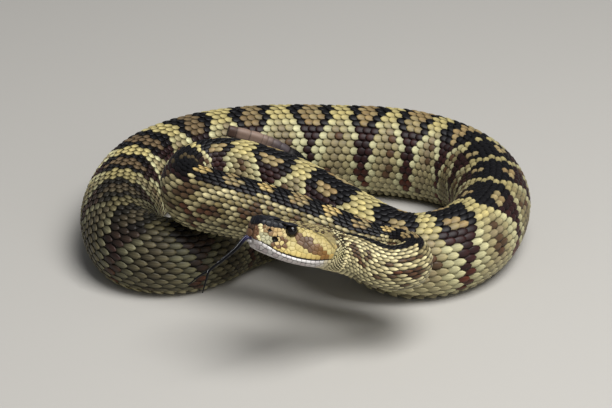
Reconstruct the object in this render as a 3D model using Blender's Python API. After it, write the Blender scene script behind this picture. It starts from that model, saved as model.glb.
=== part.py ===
"""A black-tailed rattlesnake, life size, resting in a loose coil with its head held up in front.

Metres, +Z up. The belly lies on Z = 0 and the origin is under the middle of the whole animal.
All sizes below are in millimetres and are turned to metres when a mesh is made.
The snake looks along -X. Its body is one centreline with a width and a height at each station,
and each length of it is a loft along that line.
"""
import math
from collections import namedtuple

import bmesh
import bpy
import numpy as np
from mathutils import Matrix, Vector

MM = 0.001
GAP = 0.30              # space between two pieces that touch

# The point of the plan that becomes the origin: the middle of the finished animal's box
MIDDLE = Vector((0.4, -15.6, 0.0))

# The head
HEAD_LENGTH = 39.0      # snout tip to nape
HEAD_YAW = math.radians(24.0)     # turned from -X towards -Y
HEAD_PITCH = math.radians(22.5)   # snout up
HEAD_ROLL = math.radians(14.0)    # the snake's left side up
NAPE_RISE = 1.7         # the neck's middle is this far above the level of the mouth
HEAD_POINTS = 36        # points round the head
BLEND_START = 31.0      # from here back the head turns into the neck's section
CHIN_SET_BACK = 1.6     # how far the chin's tip lies behind the snout's
SET_BACK_DEPTH, SET_BACK_LENGTH = 3.0, 10.0     # reached this far below the lip, and gone this far back

EYE_RADIUS = 2.15
EYE_BACK, EYE_OUT, EYE_UP = 12.6, 7.75, 6.65
BROW_PLATE = (3.9, 2.4, 0.8)     # half length, half width and half thickness of the plate over an eye
BROW_PLACE = (12.5, 6.8, 8.75)
BROW_TILT = math.radians(2.0)     # the front of the plate is lower, as the brow is
NOSTRIL_RADIUS, NOSTRIL_PLACE = 0.6, (4.6, 5.9, 5.0)
PIT_RADIUS, PIT_PLACE = 1.0, (8.2, 7.6, 3.1)
JAW_END = 29.5          # how far back the mouth is open between the jaws
MOUTH_NOTCH = (4.2, 3.1, 1.8)     # length, width and height of the slot for the tongue
NOTCH_INSIDE = 2.4      # how deep the slot goes into the snout
JAW_SPACE = (3.0, 18.0, 14.0)     # how far the jaw's cutting block reaches ahead, aside and down
JAW_SPACE_RINGS = 17

# The tongue, measured from the snout tip in the room's directions
TONGUE_HALVES = (0.75, 0.6)       # half width and half thickness of one of its two strands
TONGUE_SPREAD = 0.5    # from the middle of the tongue to the middle of one strand
STEM_TAPER, STEM_THINNING, STEM_CLOSING = 0.38, 0.25, 0.45     # shares lost between lip and fork
TINE_TIP = 0.26         # half thickness of a tine at its tip
TINE_ENDS = {1: Vector((-22.1, -5.4, -16.5)), -1: Vector((-16.9, -7.0, -19.0))}
TINE_ARCH = 0.5         # how far a tine bows up between the fork and its tip
TONGUE_RINGS = 17
TONGUE_CORNERS = 8
LEVEL_LENGTH = 8.0      # how far out the tongue turns from the head's roll to level

# Body sections
BODY_POINTS = 24
BACK_ROUNDNESS = 1.85   # below 2 the back rises towards the backbone
BELLY_ROUNDNESS = 2.5   # above 2 the belly is flatter
NAPE_SWELL = 0.05       # growth of the half width and half height for each millimetre behind the nape
CURVE_SAMPLES = 4000    # places along the centreline that measure its true length

# The rattle
RATTLE_RINGS = 7
RATTLE_HALF_WIDTH, RATTLE_HALF_HEIGHT = 2.6, 3.2
RATTLE_TIP_SCALE = 0.84
RATTLE_POINTS = 20
RATTLE_RING_PROFILE = ((0.0, 0.80), (0.18, 0.97), (0.55, 1.0), (0.86, 0.86))     # place, share of size
RATTLE_END = (0.995, 0.5)         # the broken tip: its place along the rattle and its share of size
RATTLE_GROOVE, GROOVE_SHARPNESS = 0.16, 6       # depth of the groove along each side

Station = namedtuple("Station", "name x y z half_width half_height")


def turn(name, middle, radius, start, stop, z, half_width, half_height, count=5):
    """Stations on a round turn of the body, from one angle to another, with sizes changing evenly."""
    stations = []
    for index in range(count):
        part = index / (count - 1)
        angle = math.radians(start + (stop - start) * part)
        stations.append(Station(
            f"{name}_{index + 1}",
            middle[0] + radius * math.cos(angle),
            middle[1] + radius * math.sin(angle),
            z[0] + (z[1] - z[0]) * part,
            half_width[0] + (half_width[1] - half_width[0]) * part,
            half_height[0] + (half_height[1] - half_height[0]) * part))
    return stations


def route():
    """The middle of the body from the nape to the rattle's tip, chosen by hand."""
    neck = [Station("nape", 12.2, -90.8, 44.4, 7.6, 7.8),
            Station("neck", 20.6, -88.8, 41.0, 8.0, 8.3)]
    neck_turn = turn("neck_turn", (30.0, -79.0), 10.4, -90, 68,
                     (37.6, 33.4), (8.1, 8.3), (8.8, 9.9))
    front = [Station("front_1", 21.0, -65.2, 34.4, 10.2, 10.6),
             Station("front_2", -1.0, -56.8, 39.0, 11.2, 11.4),
             Station("front_3", -20.0, -50.0, 41.8, 11.4, 12.0)]
    fore_turn = turn("fore_turn", (-34.6, -31.0), 13.4, 250, 90,
                     (43.6, 44.2), (10.4, 10.4), (13.2, 13.6))
    rear = [Station("rear_1", -19.0, -18.6, 41.4, 12.8, 13.6),
            Station("rear_2", 1.2, -24.0, 33.2, 14.6, 14.8),
            Station("rear_3", 19.0, -33.0, 24.8, 16.0, 16.0),
            Station("landing", 39.6, -38.5, 17.1, 17.0, 17.3)]
    ring = [Station("right_1", 59.0, -32.0, 16.3, 17.0, 17.3),
            Station("right_2", 73.0, -12.0, 16.2, 16.6, 17.2),
            Station("right_3", 78.0, 14.0, 16.4, 16.6, 17.4),
            Station("right_4", 70.0, 40.0, 17.0, 17.4, 18.0),
            Station("back_1", 46.0, 55.0, 18.2, 18.6, 19.2),
            Station("back_2", 15.0, 61.5, 18.0, 18.6, 19.0),
            Station("back_3", -18.0, 63.5, 17.6, 18.4, 18.6),
            Station("back_4", -46.0, 57.0, 17.2, 18.0, 18.2),
            Station("left_1", -67.5, 38.5, 16.9, 17.6, 17.9),
            Station("left_2", -76.0, 11.0, 16.6, 17.2, 17.6)]
    left_turn = turn("left_turn", (-55.4, -14.5), 20.2, 184, 312,
                     (16.2, 13.8), (16.4, 14.6), (17.0, 14.9), count=4)
    under = [Station("under_1", -29.5, -16.8, 13.2, 14.0, 14.1),
             Station("under_2", -14.5, -5.8, 12.0, 12.6, 12.8),
             Station("vent", -2.2, 1.8, 10.4, 10.2, 10.8),
             Station("tail_1", 5.4, 10.0, 9.6, 8.2, 8.6),
             Station("tail_2", 6.0, 18.5, 13.0, 6.8, 7.1),
             Station("tail_3", 1.0, 24.2, 20.5, 5.2, 5.5),
             Station("tail_end", -8.5, 24.9, 31.8, 3.4, 3.8),
             Station("rattle_tip", -33.0, 22.0, 43.5, 3.0, 3.0)]
    return neck + neck_turn + front + fore_turn + rear + ring + left_turn + under


# Each length of the body: its name, the stations it runs between, and the space between its rings
LENGTHS = [
    ("neck", "nape", "neck_turn_1", 3.6),
    ("neck_bend", "neck_turn_1", "neck_turn_5", 3.0),
    ("forebody_front", "neck_turn_5", "front_3", 4.6),
    ("forebody_bend", "front_3", "fore_turn_5", 3.6),
    ("forebody_rear", "fore_turn_5", "rear_3", 4.6),
    ("midbody_front", "rear_3", "right_1", 4.6),
    ("midbody_right", "right_1", "right_4", 5.0),
    ("midbody_corner", "right_4", "back_2", 5.0),
    ("midbody_back", "back_2", "back_4", 5.4),
    ("hindbody_corner", "back_4", "left_2", 5.0),
    ("hindbody_bend", "left_2", "left_turn_4", 4.4),
    ("hindbody_under", "left_turn_4", "vent", 4.6),
    ("tail", "vent", "tail_end", 3.4),
]

# Sections of the head from the snout back: distance behind the snout tip, height of the crown,
# half width and height at the brow, half width of the cheek, half width and height of the lip,
# half width of the jaw, depth of the chin. Heights are above the level of the mouth at the snout.
HeadSection = namedtuple(
    "HeadSection", "name back crown brow_out brow_up cheek_out lip_out lip_up jaw_out chin")
HEAD_SECTIONS = [
    HeadSection("snout", 0.0, 6.1, 2.4, 5.3, 2.9, 3.2, 0.3, 2.7, -2.2),
    HeadSection("rostral", 1.2, 8.9, 4.1, 7.4, 4.6, 5.0, 0.3, 4.4, -3.2),
    HeadSection("nostril", 4.5, 9.7, 5.2, 8.4, 6.1, 6.9, -0.5, 6.3, -4.1),
    HeadSection("pit", 8.5, 8.9, 6.4, 8.3, 7.3, 8.5, -1.7, 7.9, -4.9),
    HeadSection("eye", 12.8, 8.2, 8.2, 8.5, 8.8, 10.3, -2.3, 9.6, -5.5),
    HeadSection("brow", 16.5, 8.1, 8.6, 8.5, 10.6, 11.7, -2.5, 10.9, -5.8),
    HeadSection("temple", 22.0, 8.8, 8.5, 8.7, 12.9, 12.8, -2.2, 11.7, -5.8),
    HeadSection("jaw_angle", 28.0, 10.0, 8.0, 9.1, 13.4, 12.6, -1.1, 10.9, -5.5),
    HeadSection("occiput", 33.0, 10.2, 6.9, 8.9, 11.5, 10.8, -0.2, 8.8, -5.7),
    HeadSection("nape", 39.0, 9.5, 5.4, 7.4, 7.6, 7.4, 0.6, 5.6, -6.1),
]
HEAD_RINGS = [0.0, 0.5, 1.2, 2.6, 4.5, 6.4, 8.5, 10.6, 12.8, 14.6, 16.5, 19.0, 22.0,
              25.0, 27.5, 29.5, 31.5, 33.5, 36.0]

HEAD_FORWARD = Vector((-math.cos(HEAD_PITCH) * math.cos(HEAD_YAW),
                       -math.cos(HEAD_PITCH) * math.sin(HEAD_YAW),
                       math.sin(HEAD_PITCH)))
LEVEL_UP = (Vector((0, 0, 1)) - HEAD_FORWARD * HEAD_FORWARD.z).normalized()
LEVEL_LEFT = LEVEL_UP.cross(HEAD_FORWARD)
HEAD_UP = LEVEL_UP * math.cos(HEAD_ROLL) - LEVEL_LEFT * math.sin(HEAD_ROLL)
HEAD_LEFT = LEVEL_LEFT * math.cos(HEAD_ROLL) + LEVEL_UP * math.sin(HEAD_ROLL)
UNROLL_LENGTH = 22.0    # length of neck over which the roll dies out

COLOURS = {
    "head": (0.33, 0.26, 0.13, 1.0),
    "lower_jaw": (0.62, 0.60, 0.55, 1.0),
    "eye": (0.012, 0.011, 0.010, 1.0),
    "tongue": (0.015, 0.014, 0.022, 1.0),
    "neck": (0.20, 0.17, 0.09, 1.0),
    "forebody": (0.24, 0.20, 0.11, 1.0),
    "midbody": (0.28, 0.24, 0.13, 1.0),
    "hindbody": (0.22, 0.19, 0.11, 1.0),
    "tail": (0.030, 0.027, 0.025, 1.0),
    "rattle": (0.40, 0.27, 0.20, 1.0),
}


class Centreline:
    """A smooth curve through the route, by distance from the nape, with its width and height."""

    def __init__(self, stations):
        table = np.array([station[1:] for station in stations], float)
        chords = np.linalg.norm(np.diff(table[:, :3], axis=0), axis=1)
        self.knots = np.concatenate([[0.0], np.cumsum(chords)])
        self.table = table
        self.bends = self.second_derivatives(table, chords)
        fine = np.linspace(0.0, self.knots[-1], CURVE_SAMPLES)
        places = np.array([self.at_knot(value)[:3] for value in fine])
        steps = np.linalg.norm(np.diff(places, axis=0), axis=1)
        self.fine = fine
        self.travelled = np.concatenate([[0.0], np.cumsum(steps)])
        self.marks = {station.name: float(np.interp(knot, fine, self.travelled))
                      for station, knot in zip(stations, self.knots)}

    @staticmethod
    def second_derivatives(table, chords):
        """Cubic spline that leaves the nape in line with the head and is free at the far end."""
        count = len(table)
        matrix = np.zeros((count, count))
        wanted = np.zeros(table.shape)
        leaving = np.concatenate([-np.array(HEAD_FORWARD), [NAPE_SWELL, NAPE_SWELL]])
        matrix[0, 0] = 2 * chords[0]
        matrix[0, 1] = chords[0]
        wanted[0] = 6 * ((table[1] - table[0]) / chords[0] - leaving)
        for row in range(1, count - 1):
            before, after = chords[row - 1], chords[row]
            matrix[row, row - 1] = before
            matrix[row, row] = 2 * (before + after)
            matrix[row, row + 1] = after
            wanted[row] = 6 * ((table[row + 1] - table[row]) / after
                               - (table[row] - table[row - 1]) / before)
        matrix[-1, -1] = 1.0
        return np.linalg.solve(matrix, wanted)

    def at_knot(self, value):
        """Place, half width and half height at a chord length along the route."""
        index = min(max(int(np.searchsorted(self.knots, value, side="right")) - 1, 0),
                    len(self.knots) - 2)
        span = self.knots[index + 1] - self.knots[index]
        ahead = (value - self.knots[index]) / span
        behind = 1.0 - ahead
        return (behind * self.table[index] + ahead * self.table[index + 1]
                + ((behind ** 3 - behind) * self.bends[index]
                   + (ahead ** 3 - ahead) * self.bends[index + 1]) * span ** 2 / 6)

    def at(self, distance):
        """Place, direction towards the tail, half width and half height at a distance."""
        step = 0.2
        last = self.travelled[-1]
        value = float(np.interp(distance, self.travelled, self.fine))
        nearer = self.at_knot(float(np.interp(max(distance - step, 0), self.travelled, self.fine)))
        further = self.at_knot(float(np.interp(min(distance + step, last), self.travelled, self.fine)))
        here = self.at_knot(value)
        along = Vector(further[:3] - nearer[:3]).normalized()
        return Vector(here[:3]), along, here[3], here[4]


def superellipse(angle, half_width, half_height):
    """A point of the body's section, from the backbone round, as (out, up)."""
    side, level = math.sin(angle), math.cos(angle)
    power = 2.0 / (BACK_ROUNDNESS if level > 0 else BELLY_ROUNDNESS)
    out = math.copysign(abs(side) ** power, side) * half_width
    up = math.copysign(abs(level) ** power, level) * half_height
    return out, up


def body_directions(distance, along):
    """The directions to the side and up the back: upright, but rolled with the head at the nape."""
    level_up = (Vector((0, 0, 1)) - along * along.z).normalized()
    level_out = level_up.cross(along)
    left = max(0.0, 1.0 - distance / UNROLL_LENGTH)
    roll = HEAD_ROLL * left * left * (3.0 - 2.0 * left)
    up = level_up * math.cos(roll) + level_out * math.sin(roll)
    out = level_out * math.cos(roll) - level_up * math.sin(roll)
    return out, up


def body_ring(line, distance, shift=0.0):
    """One ring of points round the body, flat on the floor where the belly meets it."""
    middle, along, half_width, half_height = line.at(distance)
    out, up = body_directions(distance, along)
    middle = middle + along * shift
    ring = []
    for index in range(BODY_POINTS):
        across, rise = superellipse(2 * math.pi * index / BODY_POINTS, half_width, half_height)
        point = middle + out * across + up * rise
        point.z = max(point.z, 0.0)
        ring.append(point)
    return ring


def mesh_object(name, points, faces, collection, colour=None):
    """A mesh object from points in millimetres, with its faces turned outwards."""
    mesh = bpy.data.meshes.new(name)
    mesh.from_pydata([(point - MIDDLE) * MM for point in points], [], faces)
    shell = bmesh.new()
    shell.from_mesh(mesh)
    bmesh.ops.recalc_face_normals(shell, faces=shell.faces)
    shell.to_mesh(mesh)
    shell.free()
    thing = bpy.data.objects.new(name, mesh)
    collection.objects.link(thing)
    if colour is not None:
        mesh.materials.append(material(name, COLOURS[colour]))
        mesh.shade_smooth()
        mesh.set_sharp_from_angle(angle=math.radians(50))
    return thing


def material(name, colour):
    """The plain finish of one piece: scales are dull, eyes and tongue are wet."""
    finish = bpy.data.materials.new(name + "_finish")
    finish.use_nodes = True
    shader = finish.node_tree.nodes["Principled BSDF"]
    shader.inputs["Base Color"].default_value = colour
    shader.inputs["Roughness"].default_value = 0.15 if "eye" in name or "tongue" in name else 0.55
    shader.inputs["Metallic"].default_value = 0.0
    return finish


def loft(name, rings, collection, colour=None):
    """A closed solid through rings of equal length, with a flat face at each end."""
    count = len(rings[0])
    points = [point for ring in rings for point in ring]
    faces = []
    for row in range(len(rings) - 1):
        for index in range(count):
            beside = (index + 1) % count
            faces.append((row * count + index, row * count + beside,
                          (row + 1) * count + beside, (row + 1) * count + index))
    faces.append(tuple(reversed(range(count))))
    last = (len(rings) - 1) * count
    faces.append(tuple(last + index for index in range(count)))
    return mesh_object(name, points, faces, collection, colour)


def body_length(name, line, start, stop, spacing, collection):
    """One length of the body between two stations, its flat ends half a gap short of them."""
    first, last = line.marks[start], line.marks[stop]
    count = max(2, round((last - first) / spacing))
    rings = [body_ring(line, first, GAP / 2)]
    for index in range(1, count):
        rings.append(body_ring(line, first + (last - first) * index / count))
    rings.append(body_ring(line, last, -GAP / 2))
    family = name.split("_")[0]
    return loft(name, rings, collection, family)


def head_point(origin, back, out, up):
    """A point given in the head's own directions: behind the snout tip, to its left, and up."""
    return origin - HEAD_FORWARD * back + HEAD_LEFT * out + HEAD_UP * up


def smooth_through(values, places, place):
    """A value between table rows by a cubic that follows its neighbours (Catmull-Rom)."""
    index = max(i for i in range(len(places) - 1) if places[i] <= place or i == 0)
    low, high = max(index - 1, 0), min(index + 2, len(places) - 1)
    span = places[index + 1] - places[index]
    part = (place - places[index]) / span
    slope_in = (values[index + 1] - values[low]) / (places[index + 1] - places[low]) * span
    slope_out = (values[high] - values[index]) / (places[high] - places[index]) * span
    return ((2 * part ** 3 - 3 * part ** 2 + 1) * values[index]
            + (part ** 3 - 2 * part ** 2 + part) * slope_in
            + (-2 * part ** 3 + 3 * part ** 2) * values[index + 1]
            + (part ** 3 - part ** 2) * slope_out)


def head_section(back):
    """The head's measures at a distance behind the snout tip."""
    places = [section.back for section in HEAD_SECTIONS]
    measures = [smooth_through([section[column] for section in HEAD_SECTIONS], places, back)
                for column in range(2, len(HEAD_SECTIONS[0]))]
    return HeadSection("between", back, *measures)


def head_outline(back):
    """Half of the head's section from crown to chin, as (out, up) points on a smooth line."""
    here = head_section(back)
    cheek_up = 0.55 * here.brow_up + 0.45 * here.lip_up
    jaw_up = 0.42 * here.lip_up + 0.58 * here.chin
    guide = [(0.0, here.crown),
             (here.brow_out * 0.55, here.crown * 0.62 + here.brow_up * 0.38),
             (here.brow_out, here.brow_up),
             (here.cheek_out, cheek_up),
             (here.lip_out, here.lip_up),
             (here.jaw_out, jaw_up),
             (here.jaw_out * 0.62, here.chin * 0.97),
             (0.0, here.chin)]
    mirrored = [(-guide[1][0], guide[1][1])] + guide + [(-guide[-2][0], guide[-2][1])]
    steps = HEAD_POINTS // 2
    outline = []
    for index in range(steps + 1):
        where = index / steps * (len(guide) - 1)
        segment = min(int(where), len(guide) - 2)
        part = where - segment
        before, start, end, after = mirrored[segment:segment + 4]
        outline.append(tuple(
            0.5 * (2 * start[axis] + (end[axis] - before[axis]) * part
                   + (2 * before[axis] - 5 * start[axis] + 4 * end[axis] - after[axis]) * part ** 2
                   + (3 * start[axis] - before[axis] - 3 * end[axis] + after[axis]) * part ** 3)
            for axis in (0, 1)))
    return outline


def neck_radius(angle, half_width, half_height):
    """How far the neck's section reaches from its middle in one direction."""
    side, level = abs(math.sin(angle)), math.cos(angle)
    power = BACK_ROUNDNESS if level > 0 else BELLY_ROUNDNESS
    return ((side / half_width) ** power + (abs(level) / half_height) ** power) ** (-1.0 / power)


def head_ring(origin, back, shift=0.0):
    """One ring of points round the head, turning into the neck's section at the nape."""
    nape = route()[0]
    blend = min(max((back - BLEND_START) / (HEAD_LENGTH - BLEND_START), 0.0), 1.0)
    blend = blend * blend * (3 - 2 * blend)
    half = []
    for out, up in head_outline(back):
        if blend > 0:
            angle = math.atan2(out, up - NAPE_RISE)
            reach = neck_radius(angle, nape.half_width, nape.half_height)
            out = out * (1 - blend) + math.sin(angle) * reach * blend
            up = up * (1 - blend) + (NAPE_RISE + math.cos(angle) * reach) * blend
        half.append((out, up))
    lip_up = head_section(back).lip_up
    whole = half + [(-out, up) for out, up in reversed(half[1:-1])]
    ring = []
    for out, up in whole:
        depth = min(max((lip_up - up) / SET_BACK_DEPTH, 0.0), 1.0)
        set_back = CHIN_SET_BACK * depth * max(0.0, 1.0 - back / SET_BACK_LENGTH)
        ring.append(head_point(origin, back + set_back - shift, out, up))
    return ring


def head_shell(name, origin, collection, colour):
    """The whole head from snout to nape as one closed solid."""
    rings = [head_ring(origin, back) for back in HEAD_RINGS]
    rings.append(head_ring(origin, HEAD_LENGTH, GAP / 2))
    return loft(name, rings, collection, colour)


def jaw_block(name, origin, offset, collection):
    """The space of the lower jaw: below the line of the mouth and ahead of the jaw's corner."""
    rings = []
    ahead, aside, down = JAW_SPACE
    for index in range(JAW_SPACE_RINGS):
        back = -ahead + (JAW_END + offset + ahead) * index / (JAW_SPACE_RINGS - 1)
        top = head_section(max(back, 0.0)).lip_up + offset
        corners = [(-aside, top), (aside, top), (aside, -down), (-aside, -down)]
        rings.append([head_point(origin, back, out, up) for out, up in corners])
    return loft(name, rings, collection)


def ellipsoid(name, origin, place, radii, collection, colour=None, segments=16, tilt=0.0):
    """An ellipsoid in the head's directions: place and radii are back, out and up."""
    mesh = bpy.data.meshes.new(name)
    shell = bmesh.new()
    bmesh.ops.create_uvsphere(shell, u_segments=segments, v_segments=segments * 3 // 4, radius=1.0)
    turned = Matrix((-HEAD_FORWARD, HEAD_LEFT, HEAD_UP)).transposed()
    turned = Matrix.Rotation(tilt, 3, HEAD_LEFT) @ turned
    centre = head_point(origin, *place) - MIDDLE
    for vertex in shell.verts:
        scaled = Vector([vertex.co[axis] * radii[axis] for axis in range(3)])
        vertex.co = (centre + turned @ scaled) * MM
    bmesh.ops.recalc_face_normals(shell, faces=shell.faces)
    shell.to_mesh(mesh)
    shell.free()
    thing = bpy.data.objects.new(name, mesh)
    collection.objects.link(thing)
    if colour is not None:
        mesh.materials.append(material(name, COLOURS[colour]))
        mesh.shade_smooth()
    return thing


def notch(name, origin, collection):
    """The slot at the front of the mouth that the tongue comes out of."""
    length, width, height = MOUTH_NOTCH
    level = head_section(0.0).lip_up
    rings = []
    for back in (NOTCH_INSIDE, NOTCH_INSIDE - length):
        corners = [(-width / 2, level + height / 2), (width / 2, level + height / 2),
                   (width / 2, level - height / 2), (-width / 2, level - height / 2)]
        rings.append([head_point(origin, back, out, up) for out, up in corners])
    return loft(name, rings, collection)


def boolean(thing, operation, other, solver="EXACT"):
    """Cuts or joins with an object or with every object of a collection."""
    modifier = thing.modifiers.new(operation.lower(), "BOOLEAN")
    modifier.operation = operation
    modifier.solver = solver
    if isinstance(other, bpy.types.Collection):
        modifier.operand_type = "COLLECTION"
        modifier.collection = other
    else:
        modifier.object = other


def collection(name, parent=None):
    """A new collection under the scene's own, or under another."""
    group = bpy.data.collections.new(name)
    (parent or bpy.context.scene.collection).children.link(group)
    return group


def as_cutter(thing):
    """Marks an object that only cuts or joins others."""
    thing.hide_render = True
    thing.display_type = "WIRE"
    return thing


def make_head(origin, parts, cutters):
    """The head with brow plates, nostrils, heat pits and eye sockets, and the lower jaw below it."""
    head = head_shell("head", origin, parts, "head")
    jaw = head_shell("lower_jaw", origin, parts, "lower_jaw")
    plates = collection("brow_plates", cutters)
    hollows = collection("head_hollows", cutters)
    for side, sign in (("left", 1), ("right", -1)):
        back, out, up = BROW_PLACE
        as_cutter(ellipsoid(f"brow_plate_{side}", origin, (back, out * sign, up), BROW_PLATE, plates,
                            tilt=BROW_TILT))
        back, out, up = NOSTRIL_PLACE
        size = (NOSTRIL_RADIUS, NOSTRIL_RADIUS * 1.4, NOSTRIL_RADIUS * 0.8)
        as_cutter(ellipsoid(f"nostril_{side}", origin, (back, out * sign, up), size, hollows, None, 10))
        back, out, up = PIT_PLACE
        size = (PIT_RADIUS, PIT_RADIUS * 1.5, PIT_RADIUS * 0.75)
        as_cutter(ellipsoid(f"pit_{side}", origin, (back, out * sign, up), size, hollows, None, 10))
        place = (EYE_BACK, EYE_OUT * sign, EYE_UP)
        socket = (EYE_RADIUS + GAP,) * 3
        as_cutter(ellipsoid(f"socket_{side}", origin, place, socket, hollows, None, 20))
        ellipsoid(f"eye_{side}", origin, place, (EYE_RADIUS,) * 3, parts, "eye", 20)
    slot = as_cutter(notch("tongue_slot", origin, cutters))
    above = as_cutter(jaw_block("jaw_space_grown", origin, GAP / 2, cutters))
    below = as_cutter(jaw_block("jaw_space_shrunk", origin, -GAP / 2, cutters))
    boolean(head, "UNION", plates)
    boolean(head, "DIFFERENCE", hollows)
    boolean(head, "DIFFERENCE", above)
    boolean(head, "DIFFERENCE", slot)
    boolean(jaw, "INTERSECT", below, "MANIFOLD")     # the exact solver loses the jaw here
    boolean(jaw, "DIFFERENCE", slot)


def tongue_route(origin):
    """The tongue's middle line: out of the snout, drooping, then the start of the fork."""
    root = head_point(origin, NOTCH_INSIDE - GAP, 0.0, head_section(0.0).lip_up)
    lip = head_point(origin, -0.9, 0.0, head_section(0.0).lip_up - 0.1)
    return [root, lip,
            origin + Vector((-4.6, -2.2, -3.2)),
            origin + Vector((-9.5, -3.0, -7.4)),
            origin + Vector((-14.5, -4.0, -11.4))]


def strand(name, origin, sign, group):
    """One half of the tongue with its tine, as a flat tapering strip."""
    middle = tongue_route(origin)
    end = origin + TINE_ENDS[sign]
    bend = middle[-1].lerp(end, 0.5) + Vector((0, 0, TINE_ARCH))
    places = middle + [bend, end]
    knots = [0.0]
    for start, stop in zip(places, places[1:]):
        knots.append(knots[-1] + (stop - start).length)
    fork = knots[len(middle) - 1]
    rings = []
    step = 0.5
    for index in range(TONGUE_RINGS):
        distance = knots[-1] * index / (TONGUE_RINGS - 1)
        here = Vector([smooth_through([place[axis] for place in places], knots, distance)
                       for axis in range(3)])
        ahead = Vector([smooth_through([place[axis] for place in places], knots,
                                       min(distance + step, knots[-1])) for axis in range(3)])
        behind = Vector([smooth_through([place[axis] for place in places], knots,
                                        max(distance - step, 0.0)) for axis in range(3)])
        along = (ahead - behind).normalized()
        level = Vector((0, 0, 1)).cross(along).normalized()
        side = HEAD_LEFT.lerp(level, min(1.0, distance / LEVEL_LENGTH))
        side = (side - along * side.dot(along)).normalized()
        up = along.cross(side)
        tine = max(0.0, (distance - fork) / (knots[-1] - fork))
        stem = min(1.0, distance / fork)
        slim = (1.0 - STEM_TAPER * stem) * (1.0 - tine) + TINE_TIP / TONGUE_HALVES[0] * tine
        thin = (1.0 - STEM_THINNING * stem) * (1.0 - tine) + TINE_TIP / TONGUE_HALVES[1] * tine
        apart = TONGUE_SPREAD * (1.0 - STEM_CLOSING * stem) * (1.0 - tine)
        centre = here - side * sign * apart
        ring = []
        for corner in range(TONGUE_CORNERS):
            angle = 2 * math.pi * (corner + 0.5) / TONGUE_CORNERS
            ring.append(centre + side * math.cos(angle) * TONGUE_HALVES[0] * slim
                        + up * math.sin(angle) * TONGUE_HALVES[1] * thin)
        rings.append(ring)
    return loft(name, rings, group, "tongue" if sign > 0 else None)


def make_tongue(origin, parts, cutters):
    """The forked tongue: two strands that run side by side and part at the fork."""
    tongue = strand("tongue", origin, 1, parts)
    other = as_cutter(strand("tongue_other_half", origin, -1, cutters))
    boolean(tongue, "UNION", other)


def make_rattle(line, parts):
    """The rattle: hard rings one in another, flat-sided, with a groove along each side."""
    first = line.marks["tail_end"] + GAP / 2
    length = line.travelled[-1] - first
    rings = []
    for number in range(RATTLE_RINGS):
        size = 1.0 - (1.0 - RATTLE_TIP_SCALE) * number / (RATTLE_RINGS - 1)
        for part, swell in RATTLE_RING_PROFILE:
            rings.append(rattle_ring(line, first + length * (number + part) / RATTLE_RINGS, size * swell))
    place, share = RATTLE_END
    rings.append(rattle_ring(line, first + length * place, RATTLE_TIP_SCALE * share))
    return loft("rattle", rings, parts, "rattle")


def rattle_ring(line, distance, scale):
    """One ring of points round the rattle, with its groove at each side."""
    middle, along, _, _ = line.at(distance)
    up = (Vector((0, 0, 1)) - along * along.z).normalized()
    out = up.cross(along)
    ring = []
    for index in range(RATTLE_POINTS):
        angle = 2 * math.pi * index / RATTLE_POINTS
        groove = 1.0 - RATTLE_GROOVE * abs(math.sin(angle)) ** GROOVE_SHARPNESS
        ring.append(middle + out * math.sin(angle) * RATTLE_HALF_WIDTH * scale * groove
                    + up * math.cos(angle) * RATTLE_HALF_HEIGHT * scale)
    return ring


def main():
    for thing in list(bpy.data.objects):
        bpy.data.objects.remove(thing, do_unlink=True)
    parts = collection("black_tailed_rattlesnake")
    cutters = collection("cutters")
    line = Centreline(route())
    nape, _, _, _ = line.at(0.0)
    snout = nape + HEAD_FORWARD * HEAD_LENGTH - HEAD_UP * NAPE_RISE
    make_head(snout, parts, cutters)
    make_tongue(snout, parts, cutters)
    for name, start, stop, spacing in LENGTHS:
        body_length(name, line, start, stop, spacing, parts)
    make_rattle(line, parts)


main()
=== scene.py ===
"""Looks of a black-tailed rattlesnake, a still and life-size model resting in a loose coil.

Shapes are worked out in millimetres in the plan of the body's route and become metres in each mesh.
The skin is one smooth form. The scales are solid leaves and plates set on it by distance along the
body and by share of the girth, so that they bend with the coil.
"""
import math
from contextlib import contextmanager

import bmesh
import bpy
import numpy as np
from mathutils import Matrix, Vector


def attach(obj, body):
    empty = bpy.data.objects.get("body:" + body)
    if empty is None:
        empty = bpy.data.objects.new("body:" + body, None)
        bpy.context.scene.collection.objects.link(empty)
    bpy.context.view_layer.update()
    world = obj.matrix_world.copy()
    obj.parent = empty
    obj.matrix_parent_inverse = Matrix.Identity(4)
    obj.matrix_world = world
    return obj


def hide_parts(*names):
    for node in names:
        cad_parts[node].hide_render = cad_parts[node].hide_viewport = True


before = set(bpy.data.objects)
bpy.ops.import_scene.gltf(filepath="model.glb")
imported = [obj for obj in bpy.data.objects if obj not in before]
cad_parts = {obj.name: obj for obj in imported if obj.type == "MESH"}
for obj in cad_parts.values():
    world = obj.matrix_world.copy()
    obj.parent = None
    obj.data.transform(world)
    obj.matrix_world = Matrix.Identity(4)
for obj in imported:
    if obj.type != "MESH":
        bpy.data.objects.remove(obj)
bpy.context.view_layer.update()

MM = 0.001
MIDDLE = np.array([0.4, -15.6, 0.0])      # the point of the plan that is the frame's origin
SEED = 27

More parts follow.
